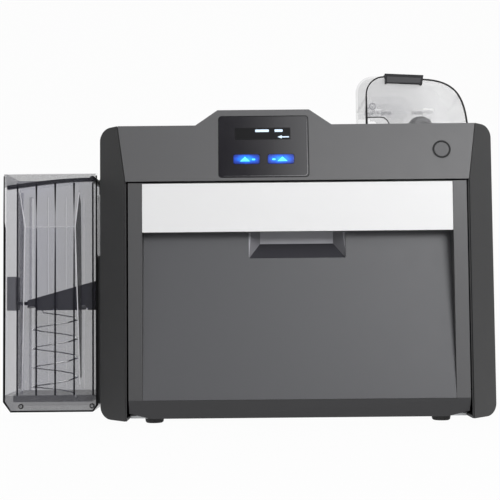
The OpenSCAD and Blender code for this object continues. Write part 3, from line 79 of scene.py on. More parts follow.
def middle_x(node):
    """The place of a node's middle from left to right."""
    low, high = corners_of(node)
    return (low.x + high.x) / 2


FACE_FOOT = corners_of("front_bezel")[0]
FACE_LEAN = math.atan(8.5 / 56.4)
LENS_LOW, LENS_HIGH, LENS_CORNER = (-76.8, 243.0), (11.8, 305.6), 3.0
# Where the display lens turns from dark on the left to a painted reflection on the right, and half the width
# of that turn.
LENS_REFLECTION_X, LENS_REFLECTION_HALF = -6, 22
KEY_X = {key: middle_x(key) for key in ("left_key", "right_key")}
KEY_Z = 261.5
KEY_HALF = (12.8, 4.6)
POWER_X, POWER_Z = middle_x("power_button"), 269.8
POWER_GROOVE_R = 8.9

# Half the width over which the door's strips are painted lighter towards the right, as painted light from that
# side.
DOOR_PAINTED_LIGHT_HALF = 160
# The door's foot below this height is painted darker, as shade on a face that looks down.
DOOR_FOOT_TOP = corners_of("door_panel")[0].z

CASE_LOW, CASE_HIGH = corners_of("output_case")
CASE_WALL = 2.4
RIB_FIRST, RIB_STEP, RIB_COUNT = -287.3, 19.5, 5
RIB_LOW, RIB_HIGH = CASE_LOW.z, 246
FOOT_SCREW_X, FOOT_SCREW_Z = (-282.9, -210.0), 16
PLATFORM_SHOE_END = -288.4

LID_TOP, LID_SLOPE = 354, math.radians(12.5)
LID_FRONT = corners_of("input_lid")[0].y
GRIP_FRONT = corners_of("lid_handle")[0].y
ARM_PIN_FRONT = corners_of("arm_pin")[0].y
ARM_PIN_AT = (82.8, 324)


def on_face(x, deep, z):
    """A point on the bezel's leaning face, by its depth in the face and its height before the lean."""
    up = z - FACE_FOOT.z
    y = FACE_FOOT.y + deep * math.cos(FACE_LEAN) + up * math.sin(FACE_LEAN)
    return at(x, y, FACE_FOOT.z + up * math.cos(FACE_LEAN) - deep * math.sin(FACE_LEAN))


# --- Material nodes: texture scales in turns per metre, depths in metres ---

GRAIN, GRAIN_DEPTH = 1500.0, 0.00005


class Shader:
    """A material with one Principled BSDF, and short calls for the textures that feed it."""

    def __init__(self, name, base, rough, **sockets):
        self.mat = bpy.data.materials.new(name)
        self.mat.use_nodes = True
        self.tree = self.mat.node_tree
        self.bsdf = self.tree.nodes["Principled BSDF"]
        self.coords = self.node("ShaderNodeTexCoord").outputs["Object"]
        self.base = tuple(base[:3]) + (1.0,)
        self.put("Base Color", self.base)
        self.put("Roughness", rough)
        for key, value in sockets.items():
            self.put(key.replace("_", " "), value)

    def node(self, kind, **settings):
        n = self.tree.nodes.new(kind)
        for key, value in settings.items():
            setattr(n, key, value)
        return n

    def put(self, socket, value):
        self.bsdf.inputs[socket].default_value = value

    def link(self, a, b):
        self.tree.links.new(a, b)

    def stretched(self, scale):
        m = self.node("ShaderNodeMapping")
        m.inputs["Scale"].default_value = scale
        self.link(self.coords, m.inputs["Vector"])
        return m.outputs["Vector"]

    def noise(self, scale, detail=3.0, vector=None):
        n = self.node("ShaderNodeTexNoise")
        n.inputs["Scale"].default_value = scale
        n.inputs["Detail"].default_value = detail
        n.inputs["Roughness"].default_value = 0.55
        self.link(vector or self.coords, n.inputs["Vector"])
        return n.outputs["Fac"]

    def remap(self, value, low, high, source=(0.3, 0.7)):
        m = self.node("ShaderNodeMapRange")
        for key, v in zip(("From Min", "From Max", "To Min", "To Max"), (*source, low, high)):
            m.inputs[key].default_value = v
        self.link(value, m.inputs["Value"])
        return m.outputs["Result"]

    def mix(self, value, dark, light):
        m = self.node("ShaderNodeMix", data_type="RGBA")
        for socket, c in zip((m.inputs[6], m.inputs[7]), (dark, light)):
            if hasattr(c, "links"):
                self.link(c, socket)
            else:
                socket.default_value = tuple(c[:3]) + (1.0,)
        self.link(value, m.inputs[0])
        return m.outputs[2]

    def along(self, axis):
        """One coordinate of the piece's own frame, in metres."""
        n = self.node("ShaderNodeSeparateXYZ")
        self.link(self.coords, n.inputs[0])
        return n.outputs[axis]

    def facing(self, axis):
        """How far a face looks along one axis of the piece's own frame, from -1 to 1."""
        n = self.node("ShaderNodeSeparateXYZ")
        self.link(self.node("ShaderNodeTexCoord").outputs["Normal"], n.inputs[0])
        return n.outputs[axis]

    def round_about(self, centre, half):
        """Distance from a centre in shares of the half sizes; a zero half size leaves that axis out."""
        m = self.node("ShaderNodeMapping")
        scale = [1 / h if h else 0.0 for h in half]
        m.inputs["Scale"].default_value = scale
        m.inputs["Location"].default_value = [-c * k for c, k in zip(centre, scale)]
        self.link(self.coords, m.inputs["Vector"])
        n = self.node("ShaderNodeVectorMath", operation="LENGTH")
        self.link(m.outputs["Vector"], n.inputs[0])
        return n.outputs["Value"]

    def ramp(self, value, stops):
        """Colours at shares of the way from 0 to 1."""
        n = self.node("ShaderNodeValToRGB")
        ends = n.color_ramp.elements
        while len(ends) < len(stops):
            ends.new(0.5)
        for e, (place, colour) in zip(ends, stops):
            e.position = place
            e.color = tuple(colour[:3]) + (1.0,)
        self.link(value, n.inputs[0])
        return n.outputs["Color"]

    def tint(self, value, spread):
        """Colour that varies by a share of itself round the base colour."""
        dark = [c * (1 - spread) for c in self.base[:3]]
        light = [c * (1 + spread) for c in self.base[:3]]
        colour = self.mix(value, dark, light)
        self.link(colour, self.bsdf.inputs["Base Color"])
        return colour

    def roughen(self, value, low, high):
        self.link(self.remap(value, low, high), self.bsdf.inputs["Roughness"])

    def bump(self, value, depth):
        b = self.node("ShaderNodeBump")
        b.inputs["Strength"].default_value = 1.0
        b.inputs["Distance"].default_value = depth
        self.link(value, b.inputs["Height"])
        self.link(b.outputs["Normal"], self.bsdf.inputs["Normal"])

    def grained(self, rough, grain=GRAIN, depth=GRAIN_DEPTH):
        """Slightly uneven sheen and a fine grain, as on moulded plastic."""
        self.roughen(self.noise(70.0), rough - 0.015, rough + 0.015)
        self.bump(self.noise(grain, 2.0), depth)

    def glazed(self, rough):
        """Faint tint, flow marks and a soft gloss, as on clear plastic."""
        self.tint(self.noise(18.0), 0.05)
        self.roughen(self.noise(60.0), rough * 0.7, rough * 1.5)
        self.bump(self.noise(40.0, 1.0), 0.00002)


def moulded(name, base, rough, grain=GRAIN, depth=GRAIN_DEPTH, spread=0.02, **sockets):
    """Moulded plastic with a fine grain, faint flow marks and a slightly uneven sheen."""
    s = Shader(name, base, rough, **sockets)
    s.tint(s.noise(6.0), spread)
    s.grained(rough, grain, depth)
    return s.mat


def gloss(name, base, rough):
    """Polished plastic or glass over a colour."""
    s = Shader(name, base, rough)
    s.tint(s.noise(30.0), 0.06)
    s.roughen(s.noise(90.0), rough * 0.7, rough * 1.6)
    s.bump(s.noise(60.0, 1.0), 0.00001)
    return s.mat


def clear(name, base, alpha, rough, **sockets):
    """Clear plastic: see-through walls with a tint, faint flow marks and a soft gloss."""
    s = Shader(name, base, rough, Alpha=alpha, **sockets)
    s.glazed(rough)
    return s.mat


def smoked_case(name, base, front, sides, back):
    """The card case: a clear front wall, smoked side walls and a darker back wall."""
    s = Shader(name, base, 0.1, Specular_IOR_Level=0.3)
    s.glazed(0.1)
    deep = s.remap(s.along("Y"), 0.0, 1.0, [on_axis("Y", y) for y in (CASE_LOW.y, CASE_HIGH.y)])
    # Shares of the case's depth, from its front.
    walls = [(0.0, front), (0.039, front), (0.042, sides), (0.955, sides), (0.965, back)]
    shade = s.ramp(deep, [(share, (alpha, alpha, alpha)) for share, alpha in walls])
    s.link(shade, s.bsdf.inputs["Alpha"])
    return s.mat


def two_tone(name, base, other, rough, axis, edge, half=0.4, grain=GRAIN, depth=GRAIN_DEPTH, right=None):
    """Plastic with a second shade past a place along one axis, which may drift to another on the right as
    painted light.
    """
    s = Shader(name, base, rough)
    flow = s.noise(6.0)
    spread = [s.mix(flow, [v * 0.98 for v in c], [v * 1.02 for v in c]) for c in (base, other)]
    # Painted light: the second colour grows lighter towards the right.
    if right:
        ends = [on_axis("X", x) for x in (-DOOR_PAINTED_LIGHT_HALF, DOOR_PAINTED_LIGHT_HALF)]
        spread[1] = s.mix(s.remap(s.along("X"), 0.0, 1.0, ends), spread[1], right)
    past = s.remap(s.along(axis), 0.0, 1.0, [on_axis(axis, v) for v in (edge - half, edge + half)])
    s.link(s.mix(past, *spread), s.bsdf.inputs["Base Color"])
    s.grained(rough, grain, depth)
    return s.mat


def painted_shading_cup(name, back, sides, sill, inner, rough):
    """A recess painted with light and shade by the way its faces look: a lighter back wall, darker slanted
    sides and a darkest sloped sill.
    """
    s = Shader(name, inner, rough)
    # A face that looks straight to the front has -1: the back wall has it, and the sides have a little less.
    front = s.facing("Y")
    wall = s.mix(s.remap(front, 0.0, 1.0, (-0.97, -0.9)), back, sides)
    seen = s.mix(s.remap(front, 0.0, 1.0, (-0.2, 0.0)), wall, inner)
    # Painted shade on the sloped sill, whose face looks up.
    sloped = s.remap(s.facing("Z"), 0.0, 1.0, (0.2, 0.3))
    s.link(s.mix(sloped, seen, sill), s.bsdf.inputs["Base Color"])
    s.grained(rough)
    return s.mat


def metal(name, base, rough, stretch=(600.0, 40.0, 600.0)):
    """Drawn or rolled metal, with fine marks along one way."""
    s = Shader(name, base, rough, Metallic=1.0)
    marks = s.noise(1.0, 3.0, s.stretched(stretch))
    s.tint(marks, 0.08)
    s.roughen(marks, rough - 0.08, rough + 0.1)
    s.bump(marks, 0.00002)
    return s.mat


def rubber(name, base, rough):
    """Dull rubber with a coarser grain than the plastic."""
    s = Shader(name, base, rough)
    s.tint(s.noise(200.0), 0.15)
    s.roughen(s.noise(120.0), rough - 0.1, rough + 0.1)
    s.bump(s.noise(2500.0), 0.00006)
    return s.mat


def glow(name, base, light, strength):
    """A sign that gives light of its own."""
    s = Shader(name, base, 0.25)
    s.tint(s.noise(40.0), 0.1)
    s.put("Emission Color", tuple(light) + (1.0,))
    s.put("Emission Strength", strength)
    return s.mat


def lit_key(name, centre):
    """A key lit from behind: pale in the middle, deep blue towards its rim."""
    s = Shader(name, (0.004, 0.02, 0.12), 0.2)
    far = s.round_about(centre, (KEY_HALF[0] * MM, 0.0, KEY_HALF[1] * MM))
    wavy = s.node("ShaderNodeMath", operation="ADD")
    s.link(s.remap(far, 0.0, 1.0, (0.0, 1.45)), wavy.inputs[0])
    s.link(s.remap(s.noise(260.0, 2.0), -0.06, 0.06), wavy.inputs[1])
    blues = [
        (0.0, (0.02, 0.62, 1.0)), (0.25, (0.01, 0.34, 1.0)), (0.5, (0.006, 0.12, 0.8)),
        (0.72, (0.004, 0.03, 0.34)), (1.0, (0.003, 0.008, 0.08)),
    ]
    s.link(s.ramp(wavy.outputs[0], blues), s.bsdf.inputs["Emission Color"])
    s.put("Emission Strength", 1.0)
    s.roughen(s.noise(80.0), 0.15, 0.3)
    return s.mat


def ring_groove(name, base, dark, centre, radius):
    """The rim round the button: a dark groove on the inside, the housing's plastic outside."""
    s = Shader(name, base, 0.45, Specular_IOR_Level=0.2)
    past = s.remap(s.round_about(centre, (radius, 0.0, radius)), 0.0, 1.0, (0.98, 1.01))
    light = s.mix(s.noise(14.0, 4.0), [v * 0.95 for v in base], [v * 1.05 for v in base])
    s.link(s.mix(past, dark, light), s.bsdf.inputs["Base Color"])
    s.roughen(s.noise(70.0), 0.4, 0.5)
    s.bump(s.noise(GRAIN, 2.0), GRAIN_DEPTH)
    return s.mat


def wound(name, base, rough, bands):
    """A roll or strip of film: fine turns round its axis and soft bands of other colours."""
    s = Shader(name, base, rough, Coat_Weight=0.4)
    turns = s.noise(1.0, 2.0, s.stretched((900.0, 6.0, 900.0)))
    wave = s.node("ShaderNodeTexWave", wave_type="BANDS", bands_direction="Z")
    wave.inputs["Scale"].default_value = 5.0
    wave.inputs["Distortion"].default_value = 0.4
    s.link(s.coords, wave.inputs["Vector"])
    s.link(s.mix(wave.outputs["Fac"], base, bands), s.bsdf.inputs["Base Color"])
    s.roughen(turns, rough * 0.7, rough * 1.5)
    s.bump(turns, 0.00003)
    return s.mat


def board(name):
    """Lacquered circuit board with copper runs under the lacquer."""
    s = Shader(name, (0.012, 0.1, 0.035), 0.3, Coat_Weight=0.5)
    b = s.node("ShaderNodeTexBrick", offset=0.37)
    b.inputs["Scale"].default_value = 160.0
    b.inputs["Mortar Size"].default_value = 0.08
    b.inputs["Color1"].default_value = (0.01, 0.085, 0.03, 1)
    b.inputs["Color2"].default_value = (0.014, 0.11, 0.04, 1)
    b.inputs["Mortar"].default_value = (0.05, 0.21, 0.06, 1)
    turn = s.node("ShaderNodeMapping")
    turn.inputs["Rotation"].default_value = (math.pi / 2, 0, 0)
    s.link(s.coords, turn.inputs["Vector"])
    s.link(turn.outputs["Vector"], b.inputs["Vector"])
    s.link(b.outputs["Color"], s.bsdf.inputs["Base Color"])
    s.roughen(s.noise(200.0), 0.22, 0.4)
    s.bump(b.outputs["Fac"], 0.00003)
    return s.mat


DARK = (0.086, 0.086, 0.09)
BLACK = (0.006, 0.006, 0.007)

# Finishes of the record's material slots.
MATERIALS = {
    "dark_plastic": moulded("dark_plastic", DARK, 0.5),
    "panel_plastic": moulded("panel_plastic", (0.084, 0.085, 0.092), 0.48),
    "white_plastic": moulded("white_plastic", (0.83, 0.83, 0.835), 0.45, 900.0, 0.00002, 0.015),
    "screen": gloss("screen", (0.002, 0.002, 0.003), 0.08),
    "steel": metal("steel", (0.55, 0.55, 0.56), 0.32),
    "plated_sheet": metal("plated_sheet", (0.5, 0.51, 0.52), 0.42, (30.0, 30.0, 500.0)),
    "rubber": rubber("rubber", (0.03, 0.03, 0.03), 0.75),
    "heated_rubber": rubber("heated_rubber", (0.22, 0.045, 0.03), 0.5),
    "ribbon_plastic": moulded("ribbon_plastic", (0.42, 0.15, 0.02), 0.4),
    "film_plastic": moulded("film_plastic", (0.04, 0.11, 0.24), 0.4),
    "ribbon_roll": wound("ribbon_roll", (0.09, 0.02, 0.11), 0.2, (0.02, 0.03, 0.14)),
    "film_roll": wound("film_roll", (0.5, 0.55, 0.58), 0.18, (0.42, 0.5, 0.56)),
    "aluminium": metal("aluminium", (0.62, 0.62, 0.63), 0.38, (40.0, 400.0, 400.0)),
    "brass": metal("brass", (0.62, 0.45, 0.16), 0.3),
    "board": board("board"),
    "black_plastic": moulded("black_plastic", (0.014, 0.014, 0.016), 0.4),
    "port_metal": metal("port_metal", (0.5, 0.5, 0.51), 0.28),
    "pale_clear": clear("pale_clear", (0.36, 0.36, 0.375), 0.18, 0.12),
    "smoked_clear": smoked_case("smoked_clear", (0.12, 0.12, 0.2), 0.05, 0.3, 0.43),
}

# Finishes of single pieces, in place of their slot's.
OWN = {
    # Painted shade: the side covers are the same plastic as the rest, made far darker as shade on their
    # side-facing wings, and the left a little darker than the right.
    "left_cover": moulded("left_cover", (0.023, 0.023, 0.024), 0.5),
    "right_cover": moulded("right_cover", (0.026, 0.026, 0.027), 0.5),
    # Painted shade on the door's foot, which looks down, and painted light growing towards the right on the
    # rest of the door.
    "door_shell": two_tone(
        "door_shell", (0.026, 0.026, 0.028), (0.072, 0.072, 0.075), 0.5, "Z", DOOR_FOOT_TOP,
        right=(0.112, 0.112, 0.116),
    ),
    "lift_platform": two_tone(
        "lift_platform", (0.12, 0.12, 0.13), (0.012, 0.012, 0.014), 0.4, "X", PLATFORM_SHOE_END,
    ),
    "output_base": clear("base_clear", (0.05, 0.05, 0.065), 0.58, 0.2),
    "weight_arm": clear("arm_clear", (0.25, 0.255, 0.34), 0.045, 0.2),
    "arm_pin": clear("pin_clear", (0.3, 0.31, 0.4), 0.06, 0.2, Specular_IOR_Level=0.1),
    "lid_pin": clear("rod_clear", (0.6, 0.6, 0.62), 0.05, 0.2, Specular_IOR_Level=0.1),
    "lid_handle": moulded("lid_handle", (0.02, 0.02, 0.022), 0.5, Specular_IOR_Level=0.15),
    # Painted reflection: the display lens is lighter towards the right.
    "display_lens": two_tone(
        "display_lens", (0.009, 0.008, 0.012), (0.046, 0.046, 0.05), 0.15, "X", LENS_REFLECTION_X,
        half=LENS_REFLECTION_HALF, grain=60.0, depth=0.00001,
    ),
    # The pull's recess is painted with light and shade: a lighter back wall, darker sides and a dark sill.
    "pull_pocket": painted_shading_cup(
        "pull_pocket", back=(0.43, 0.428, 0.465), sides=(0.21, 0.208, 0.226), sill=(0.045, 0.044, 0.053),
        inner=DARK, rough=0.5,
    ),
    "case_screws": moulded("black_screws", (0.008, 0.008, 0.009), 0.35),
    "front_bezel": moulded("bezel", (0.1, 0.1, 0.104), 0.46),
    "power_ring": ring_groove("power_ring", DARK, BLACK, on_face(POWER_X, 0, POWER_Z), POWER_GROOVE_R * MM),
    **{key: lit_key(key, on_face(x, 0, KEY_Z)) for key, x in KEY_X.items()},
}

# Finishes of the trim that is added to the imported pieces, among them painted highlights, a painted glint and
# painted shade.
TRIM = {
    "black_trim": moulded("black_trim", (0.002, 0.002, 0.0025), 0.45, Specular_IOR_Level=0.15),
    # Painted shade beside the finger recess.
    "painted_shade_trim": clear("painted_shade_trim", (0.02, 0.02, 0.024), 0.62, 0.2),
    # A light haze; it also carries the painted shade on the recess's left side.
    "haze_trim": clear("haze_trim", (0.05, 0.05, 0.06), 0.3, 0.2),
    # Painted highlight for the sill of the finger recess.
    "sill_highlight": clear("sill_highlight", (0.62, 0.62, 0.65), 0.3, 0.3),
    # Painted highlights for the creases of the finger recess.
    "crease_highlight": gloss("crease_highlight", (0.62, 0.62, 0.65), 0.2),
    # Painted glint along the display glass's right and lower edge.
    "painted_glint": gloss("painted_glint", (0.2, 0.2, 0.21), 0.25),
    "screen_black": moulded("screen_black", (0.003, 0.003, 0.004), 0.3, 60.0, 1e-5, Specular_IOR_Level=0.2),
    "grip_grey": moulded("grip_grey", (0.07, 0.07, 0.074), 0.5, Specular_IOR_Level=0.15),
    "ring_haze": clear("ring_haze", (0.2, 0.2, 0.25), 0.45, 0.3),
    "screen_light": glow("screen_light", (0.3, 0.34, 0.4), (0.62, 0.78, 0.95), 0.95),
    "key_light": glow("key_light", (0.1, 0.4, 0.4), (0.08, 0.93, 0.8), 1.0),
    "steel_ring": metal("steel_ring", (0.5, 0.5, 0.51), 0.35),
}

for row in frame["record"]["subparts"]:
    node = NODES[row["node"]]
    node.data.materials.clear()
    node.data.materials.append(OWN.get(row["node"]) or MATERIALS[row["material_slot"]])


# --- Small edge radii on the moulded and machined pieces ---

def round_edges(obj, width, sharp):
    """A small radius, in millimetres, on the edges that turn by more than an angle in degrees."""
    bevel = obj.modifiers.new("bevel", "BEVEL")
    bevel.width = width * MM
    bevel.segments = 2
    bevel.limit_method = "ANGLE"
    bevel.angle_limit = math.radians(sharp)


def soften(name, width):
    """Flat faces joined, then rounded edges with even shading."""
    node = NODES[name]
    weld = node.modifiers.new("weld", "WELD")
    weld.merge_threshold = 0.00001
    flat = node.modifiers.new("flat", "DECIMATE")
    flat.decimate_type = "DISSOLVE"
    flat.angle_limit = math.radians(0.5)
    round_edges(node, width, 32)
    even = node.modifiers.new("even", "WEIGHTED_NORMAL")
    even.weight = 100


for name, width in {
    "left_cover": 0.8, "right_cover": 0.8, "top_cover": 0.5, "front_bezel": 0.6, "door_shell": 0.5,
    "white_band": 0.3, "left_key": 0.3, "right_key": 0.3, "power_button": 0.4, "lift_platform": 0.5,
    "top_flap": 0.5, "output_base": 0.5, "output_bracket": 0.4, "lid_handle": 0.4, "display_lens": 0.25,
}.items():
    soften(name, width)


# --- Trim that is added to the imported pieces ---

def arc(centre, radius, start, end, steps):
    """Points on an arc from one angle in degrees to another."""
    turns = [math.radians(start + (end - start) * i / steps) for i in range(steps + 1)]
    return [(centre[0] + radius * math.cos(a), centre[1] + radius * math.sin(a)) for a in turns]


def bezier(a, b, c, d, steps):
    """Points on a cubic curve after its start."""
    out = []
    for i in range(1, steps + 1):
        t = i / steps
        w = ((1 - t) ** 3, 3 * t * (1 - t) ** 2, 3 * t * t * (1 - t), t ** 3)
        out.append(tuple(sum(k * p[j] for k, p in zip(w, (a, b, c, d))) for j in (0, 1)))
    return out


def rounded(low, high, r):
    """Outline of a rectangle with rounded corners, counter-clockwise from its lower right corner."""
    left, right, foot, top = low[0] + r, high[0] - r, low[1] + r, high[1] - r
    centres = ((right, foot), (right, top), (left, top), (left, foot))
    return [p for i, c in enumerate(centres) for p in arc(c, r, 90 * i - 90, 90 * i, 5)]


def band(path, half):
    """Outline of a line of varying half width along a path in X and Z."""
    widths = half if isinstance(half, (list, tuple)) else [half] * len(path)
    sides = ([], [])
    for i, (p, w) in enumerate(zip(path, widths)):
        a, b = Vector(path[max(i - 1, 0)]), Vector(path[min(i + 1, len(path) - 1)])
        along = (b - a).normalized()
        off = Vector((-along.y, along.x)) * w
        sides[0].append(tuple(Vector(p) - off))
        sides[1].append(tuple(Vector(p) + off))
    return sides[0] + sides[1][::-1]


def plate(name, outline, depths, finish, body, slot, place=at, edge=0.12, hole=None):
    """A flat piece between two depths, with small rounded edges; place turns (x, depth, z) into a point."""
    bm = bmesh.new()
    loops = []
    for ring in filter(None, (outline, hole)):
        loops.append([[bm.verts.new(place(x, deep, z)) for x, z in ring] for deep in depths])
    for near, far in loops:
        for i in range(len(near)):
            j = (i + 1) % len(near)
            bm.faces.new((near[i], near[j], far[j], far[i]))
    if hole:
        for k in (0, 1):
            outer, inner = loops[0][k], loops[1][k]
            for i in range(len(outer)):
                j = (i + 1) % len(outer)
                bm.faces.new((outer[i], outer[j], inner[j], inner[i]))
    else:
        for ring in loops[0]:
            bm.faces.new(ring)
    bmesh.ops.recalc_face_normals(bm, faces=bm.faces)
    mesh = bpy.data.meshes.new(name)
    bm.to_mesh(mesh)
    bm.free()
    mesh.materials.append(TRIM[finish])
    obj = bpy.data.objects.new(name, mesh)
    SCENE.collection.objects.link(obj)
    round_edges(obj, edge, 50)
    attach(obj, body)


def set_on(wall, proud, deep):
    """The depths of a piece that stands proud of a wall's front and reaches some way behind that front."""
    return wall - proud, wall + deep


def case_plate(name, outline, finish, proud=0.1, deep=0.2, slot="smoked_clear", **shape):
    """A flat piece on the front wall of the card case."""
    plate(name, outline, set_on(CASE_LOW.y, proud, deep), finish, "chassis", slot, **shape)


def hopper_ribs():
    """Guide ribs behind the front wall: the outer two run through, the others thin at the finger recess."""
    for i in range(RIB_COUNT):
        x = RIB_FIRST + RIB_STEP * i
        if i in (0, RIB_COUNT - 1):
            path, half = [(x, z) for z in (RIB_LOW, 140, RIB_HIGH)], [0.9, 0.85, 0.8]
        else:
            path = [(x, z) for z in (RIB_LOW, 120, 170, 193, 203, 214, 226, RIB_HIGH)]
            half = [0.9, 0.85, 0.65, 0.36, 0.16, 0.2, 0.6, 1.0]
        rib = band(path, half)
        case_plate(f"hopper_rib_{i + 1}", rib, "black_trim", -CASE_WALL, CASE_WALL + 0.65, "grey_plastic")


def finger_recess():
    """Painted highlights on the creases and the sill of the finger recess, painted shade on both sides, and
    the haze above.
    """
    left = [(-284.2, 236), (-279.0, 200.2), (-280.2, 120), (-281.7, 31.8)]
    right = [(-223.0, 236), (-227.3, 199.7), (-224.8, 120), (-222.3, 37.4)]
    # Painted highlights along the creases of the finger recess.
    for name, path in {"recess_highlight_left": left, "recess_highlight_right": right}.items():
        case_plate(name, band(path, [0.3, 0.55, 0.5, 0.3]), "crease_highlight", 0.15, 0.3)
    # Painted highlight along the sill.
    case_plate("recess_sill_highlight", band([(-278.6, 200), (-227.8, 200)], 0.7), "sill_highlight", 0.05, 0.3)
    top = [(-300.4, 241), (-206, 248.5), (-206, 254.8), (-300.4, 254.8)]
    case_plate("case_haze", top, "haze_trim", 0.05, 0.25, edge=0.08)
    # Painted shade down the right side of the recess.
    shade = [
        (-222.6, 234), (-226.6, 199.7), (-224.2, 120), (-222.0, 45),
        (-220.6, 45), (-220.4, 120), (-220.9, 200), (-221.2, 224),
    ]
    case_plate("recess_shade_right", shade, "painted_shade_trim", edge=0.08)
    # Painted shade down the left side of the recess.
    shade = [(-287.3, 236), (-287.3, 34), (-282.4, 34), (-280.9, 120), (-279.8, 200), (-284.9, 236)]
    case_plate("recess_shade_left", shade, "haze_trim", edge=0.08)


def case_corners():
    """Dark outer edges of the card case and the rings round its foot's screws."""
    left = [
        (-300.8, 253), (-300.8, 205), (-300.2, 199), (-300.2, 27),
        (-300.2, 20.8), (-293.3, 10.8), (-209.4, 10.8),
    ]
    right = [(-205.3, 253), (-205.3, 173), (-204.9, 167), (-204.9, 17), (-209.0, 11.0)]
    edges = {
        "case_edge_left": (left, [0.45, 0.6, 1.1, 1.1, 0.9, 0.8, 0.8]),
        "case_edge_right": (right, [0.6, 0.8, 1.2, 1.2, 0.8]),
    }
    for name, (path, half) in edges.items():
        case_plate(name, band(path, half), "black_trim", 0.1, 1.6, "grey_plastic")
    for i, x in enumerate(FOOT_SCREW_X):
        rim, bore = (arc((x, FOOT_SCREW_Z), r, 0, 345, 23) for r in (1.2, 0.7))
        case_plate(f"base_screw_ring_{i + 1}", rim, "steel_ring", 0.4, 0.4, "steel", hole=bore, edge=0.05)


def face_plate(name, outline, depths, finish, slot, body="chassis", **shape):
    """A flat piece on the leaning face of the bezel."""
    plate(name, outline, depths, finish, body, slot, on_face, **{"edge": 0.02, **shape})


def display_trim():
    """Seam of the display panel, a painted glint along its glass edge, its screen with plain signs, and the
    keys' signs.
    """
    def lens_outline(out):
        return rounded([c - out for c in LENS_LOW], [c + out for c in LENS_HIGH], LENS_CORNER + out)

    seam, inside = lens_outline(0.45), lens_outline(-0.25)
    face_plate("lens_seam", seam, (-0.04, 0.4), "black_trim", "display_gloss", edge=0.03, hole=inside)
    # A painted glint down the right side and along the bottom of the glass.
    x, z = LENS_HIGH[0] - 1.3, LENS_LOW[1] + 1.3
    glint = [(x, 302)] + arc((x - 3, z + 3), 3, 0, -90, 6) + [(-72, z)]
    half = [0.1, 0.34] + [0.32] * 5 + [0.22, 0.06]
    face_plate("lens_glint", band(glint, half), (0.02, 0.3), "painted_glint", "display_gloss")
    window = rounded((-60.8, 281.4), (-5.8, 293.6), 0.4)
    face_plate("screen_window", window, (0.03, 0.3), "screen_black", "screen")
    signs = {
        "screen_bar_1": rounded((-40.6, 289.2), (-27.0, 291.8), 0.7),
        "screen_bar_2": rounded((-21.4, 289.2), (-13.4, 291.8), 0.7),
        "screen_arrow_head": [(-18.6, 284.0), (-14.4, 282.3), (-14.4, 285.7)],
        "screen_arrow_bar": rounded((-14.6, 283.4), (-7.2, 284.6), 0.4),
    }
    for name, outline in signs.items():
        face_plate(name, outline, (0.0, 0.2), "screen_light", "screen")
    for key, x in KEY_X.items():
        body = key.replace("key", "softkey")
        inward = 1 if key == "left_key" else -1
        mark, spot = x - 1.5 * inward, x + 7 * inward
        shapes = {
            "arrow": [(mark - 5, KEY_Z - 2.4), (mark + 5, KEY_Z - 2.4), (mark, KEY_Z + 2.2)],
            "bar": rounded((spot - 1.6, KEY_Z - 1.3), (spot + 1.6, KEY_Z + 0.3), 0.6),
        }
        for sign, outline in shapes.items():
            face_plate(f"{key}_{sign}", outline, (-0.36, -0.2), "key_light", "lit_blue", body)


def input_hopper_trim():
    """Dark edge of the lid's front wall, edge of the card notch, face of the grip, ring of the arm's pin."""
    def front(z):
        """An outline height on the lid's front plane, which cuts the sloped form at a slant."""
        return LID_TOP + (z - LID_TOP) / math.cos(LID_SLOPE)

    corner = arc((93.8, 335), 18.3, 180, 90, 10)
    shoulder = bezier((134.8, 350.3), (167.5, 348.3), (177.3, 334.6), (180.2, 300.5), 16)
    edge = [(75.5, 297), (75.5, front(320))] + [(x, front(z)) for x, z in corner + shoulder]
    half = [1.15, 1.0] + [0.7] * 11 + [0.8] * (len(edge) - 13)
    depths = set_on(LID_FRONT, 0.3, 1.2)
    plate("lid_edge", band(edge, half), depths, "black_trim", "hopper_lid", "grey_plastic")
    notch = [(76.2, 310.9)] + arc((89.8, 302), 9, 90, 20, 6) + [(101.8, 297.4)]
    depths = set_on(LID_FRONT, 0.2, 0.6)
    plate("notch_edge", band(notch, 0.5), depths, "black_trim", "hopper_lid", "grey_plastic")
    face = [(96.6, 346.0), (130.8, 345.2), (131.6, 350.3), (96.3, 352.3)]
    plate("grip_face", face, set_on(GRIP_FRONT, 0.2, 0.4), "grip_grey", "hopper_lid", "black_plastic")
    rim, bore = (arc(ARM_PIN_AT, r, 0, 345, 23) for r in (3.7, 2.7))
    depths = set_on(ARM_PIN_FRONT, 0.4, 0.1)
    plate("pin_ring", rim, depths, "ring_haze", "chassis", "pale_clear", hole=bore, edge=0.05)


hopper_ribs()
finger_recess()
case_corners()
display_trim()
input_hopper_trim()


# --- Studio, in metres ---

FLOOR_FRONT, FLOOR_BACK, WALL_TOP = -6.0, 1.6, 5.0
CURVE_R = 1.2
BACKDROP_HALF = 7.0
SHADOW_SHARE = 0.03
WORLD_LIGHT = 0.22


def any_ray(tree, *kinds):
    """1 where a ray is of one of these kinds."""
    path = tree.nodes.new("ShaderNodeLightPath")
    total = path.outputs[kinds[0]]
    for kind in kinds[1:]:
        both = tree.nodes.new("ShaderNodeMath")
        both.operation = "ADD"
        both.use_clamp = True
        tree.links.new(total, both.inputs[0])
        tree.links.new(path.outputs[kind], both.inputs[1])
        total = both.outputs[0]
    return total


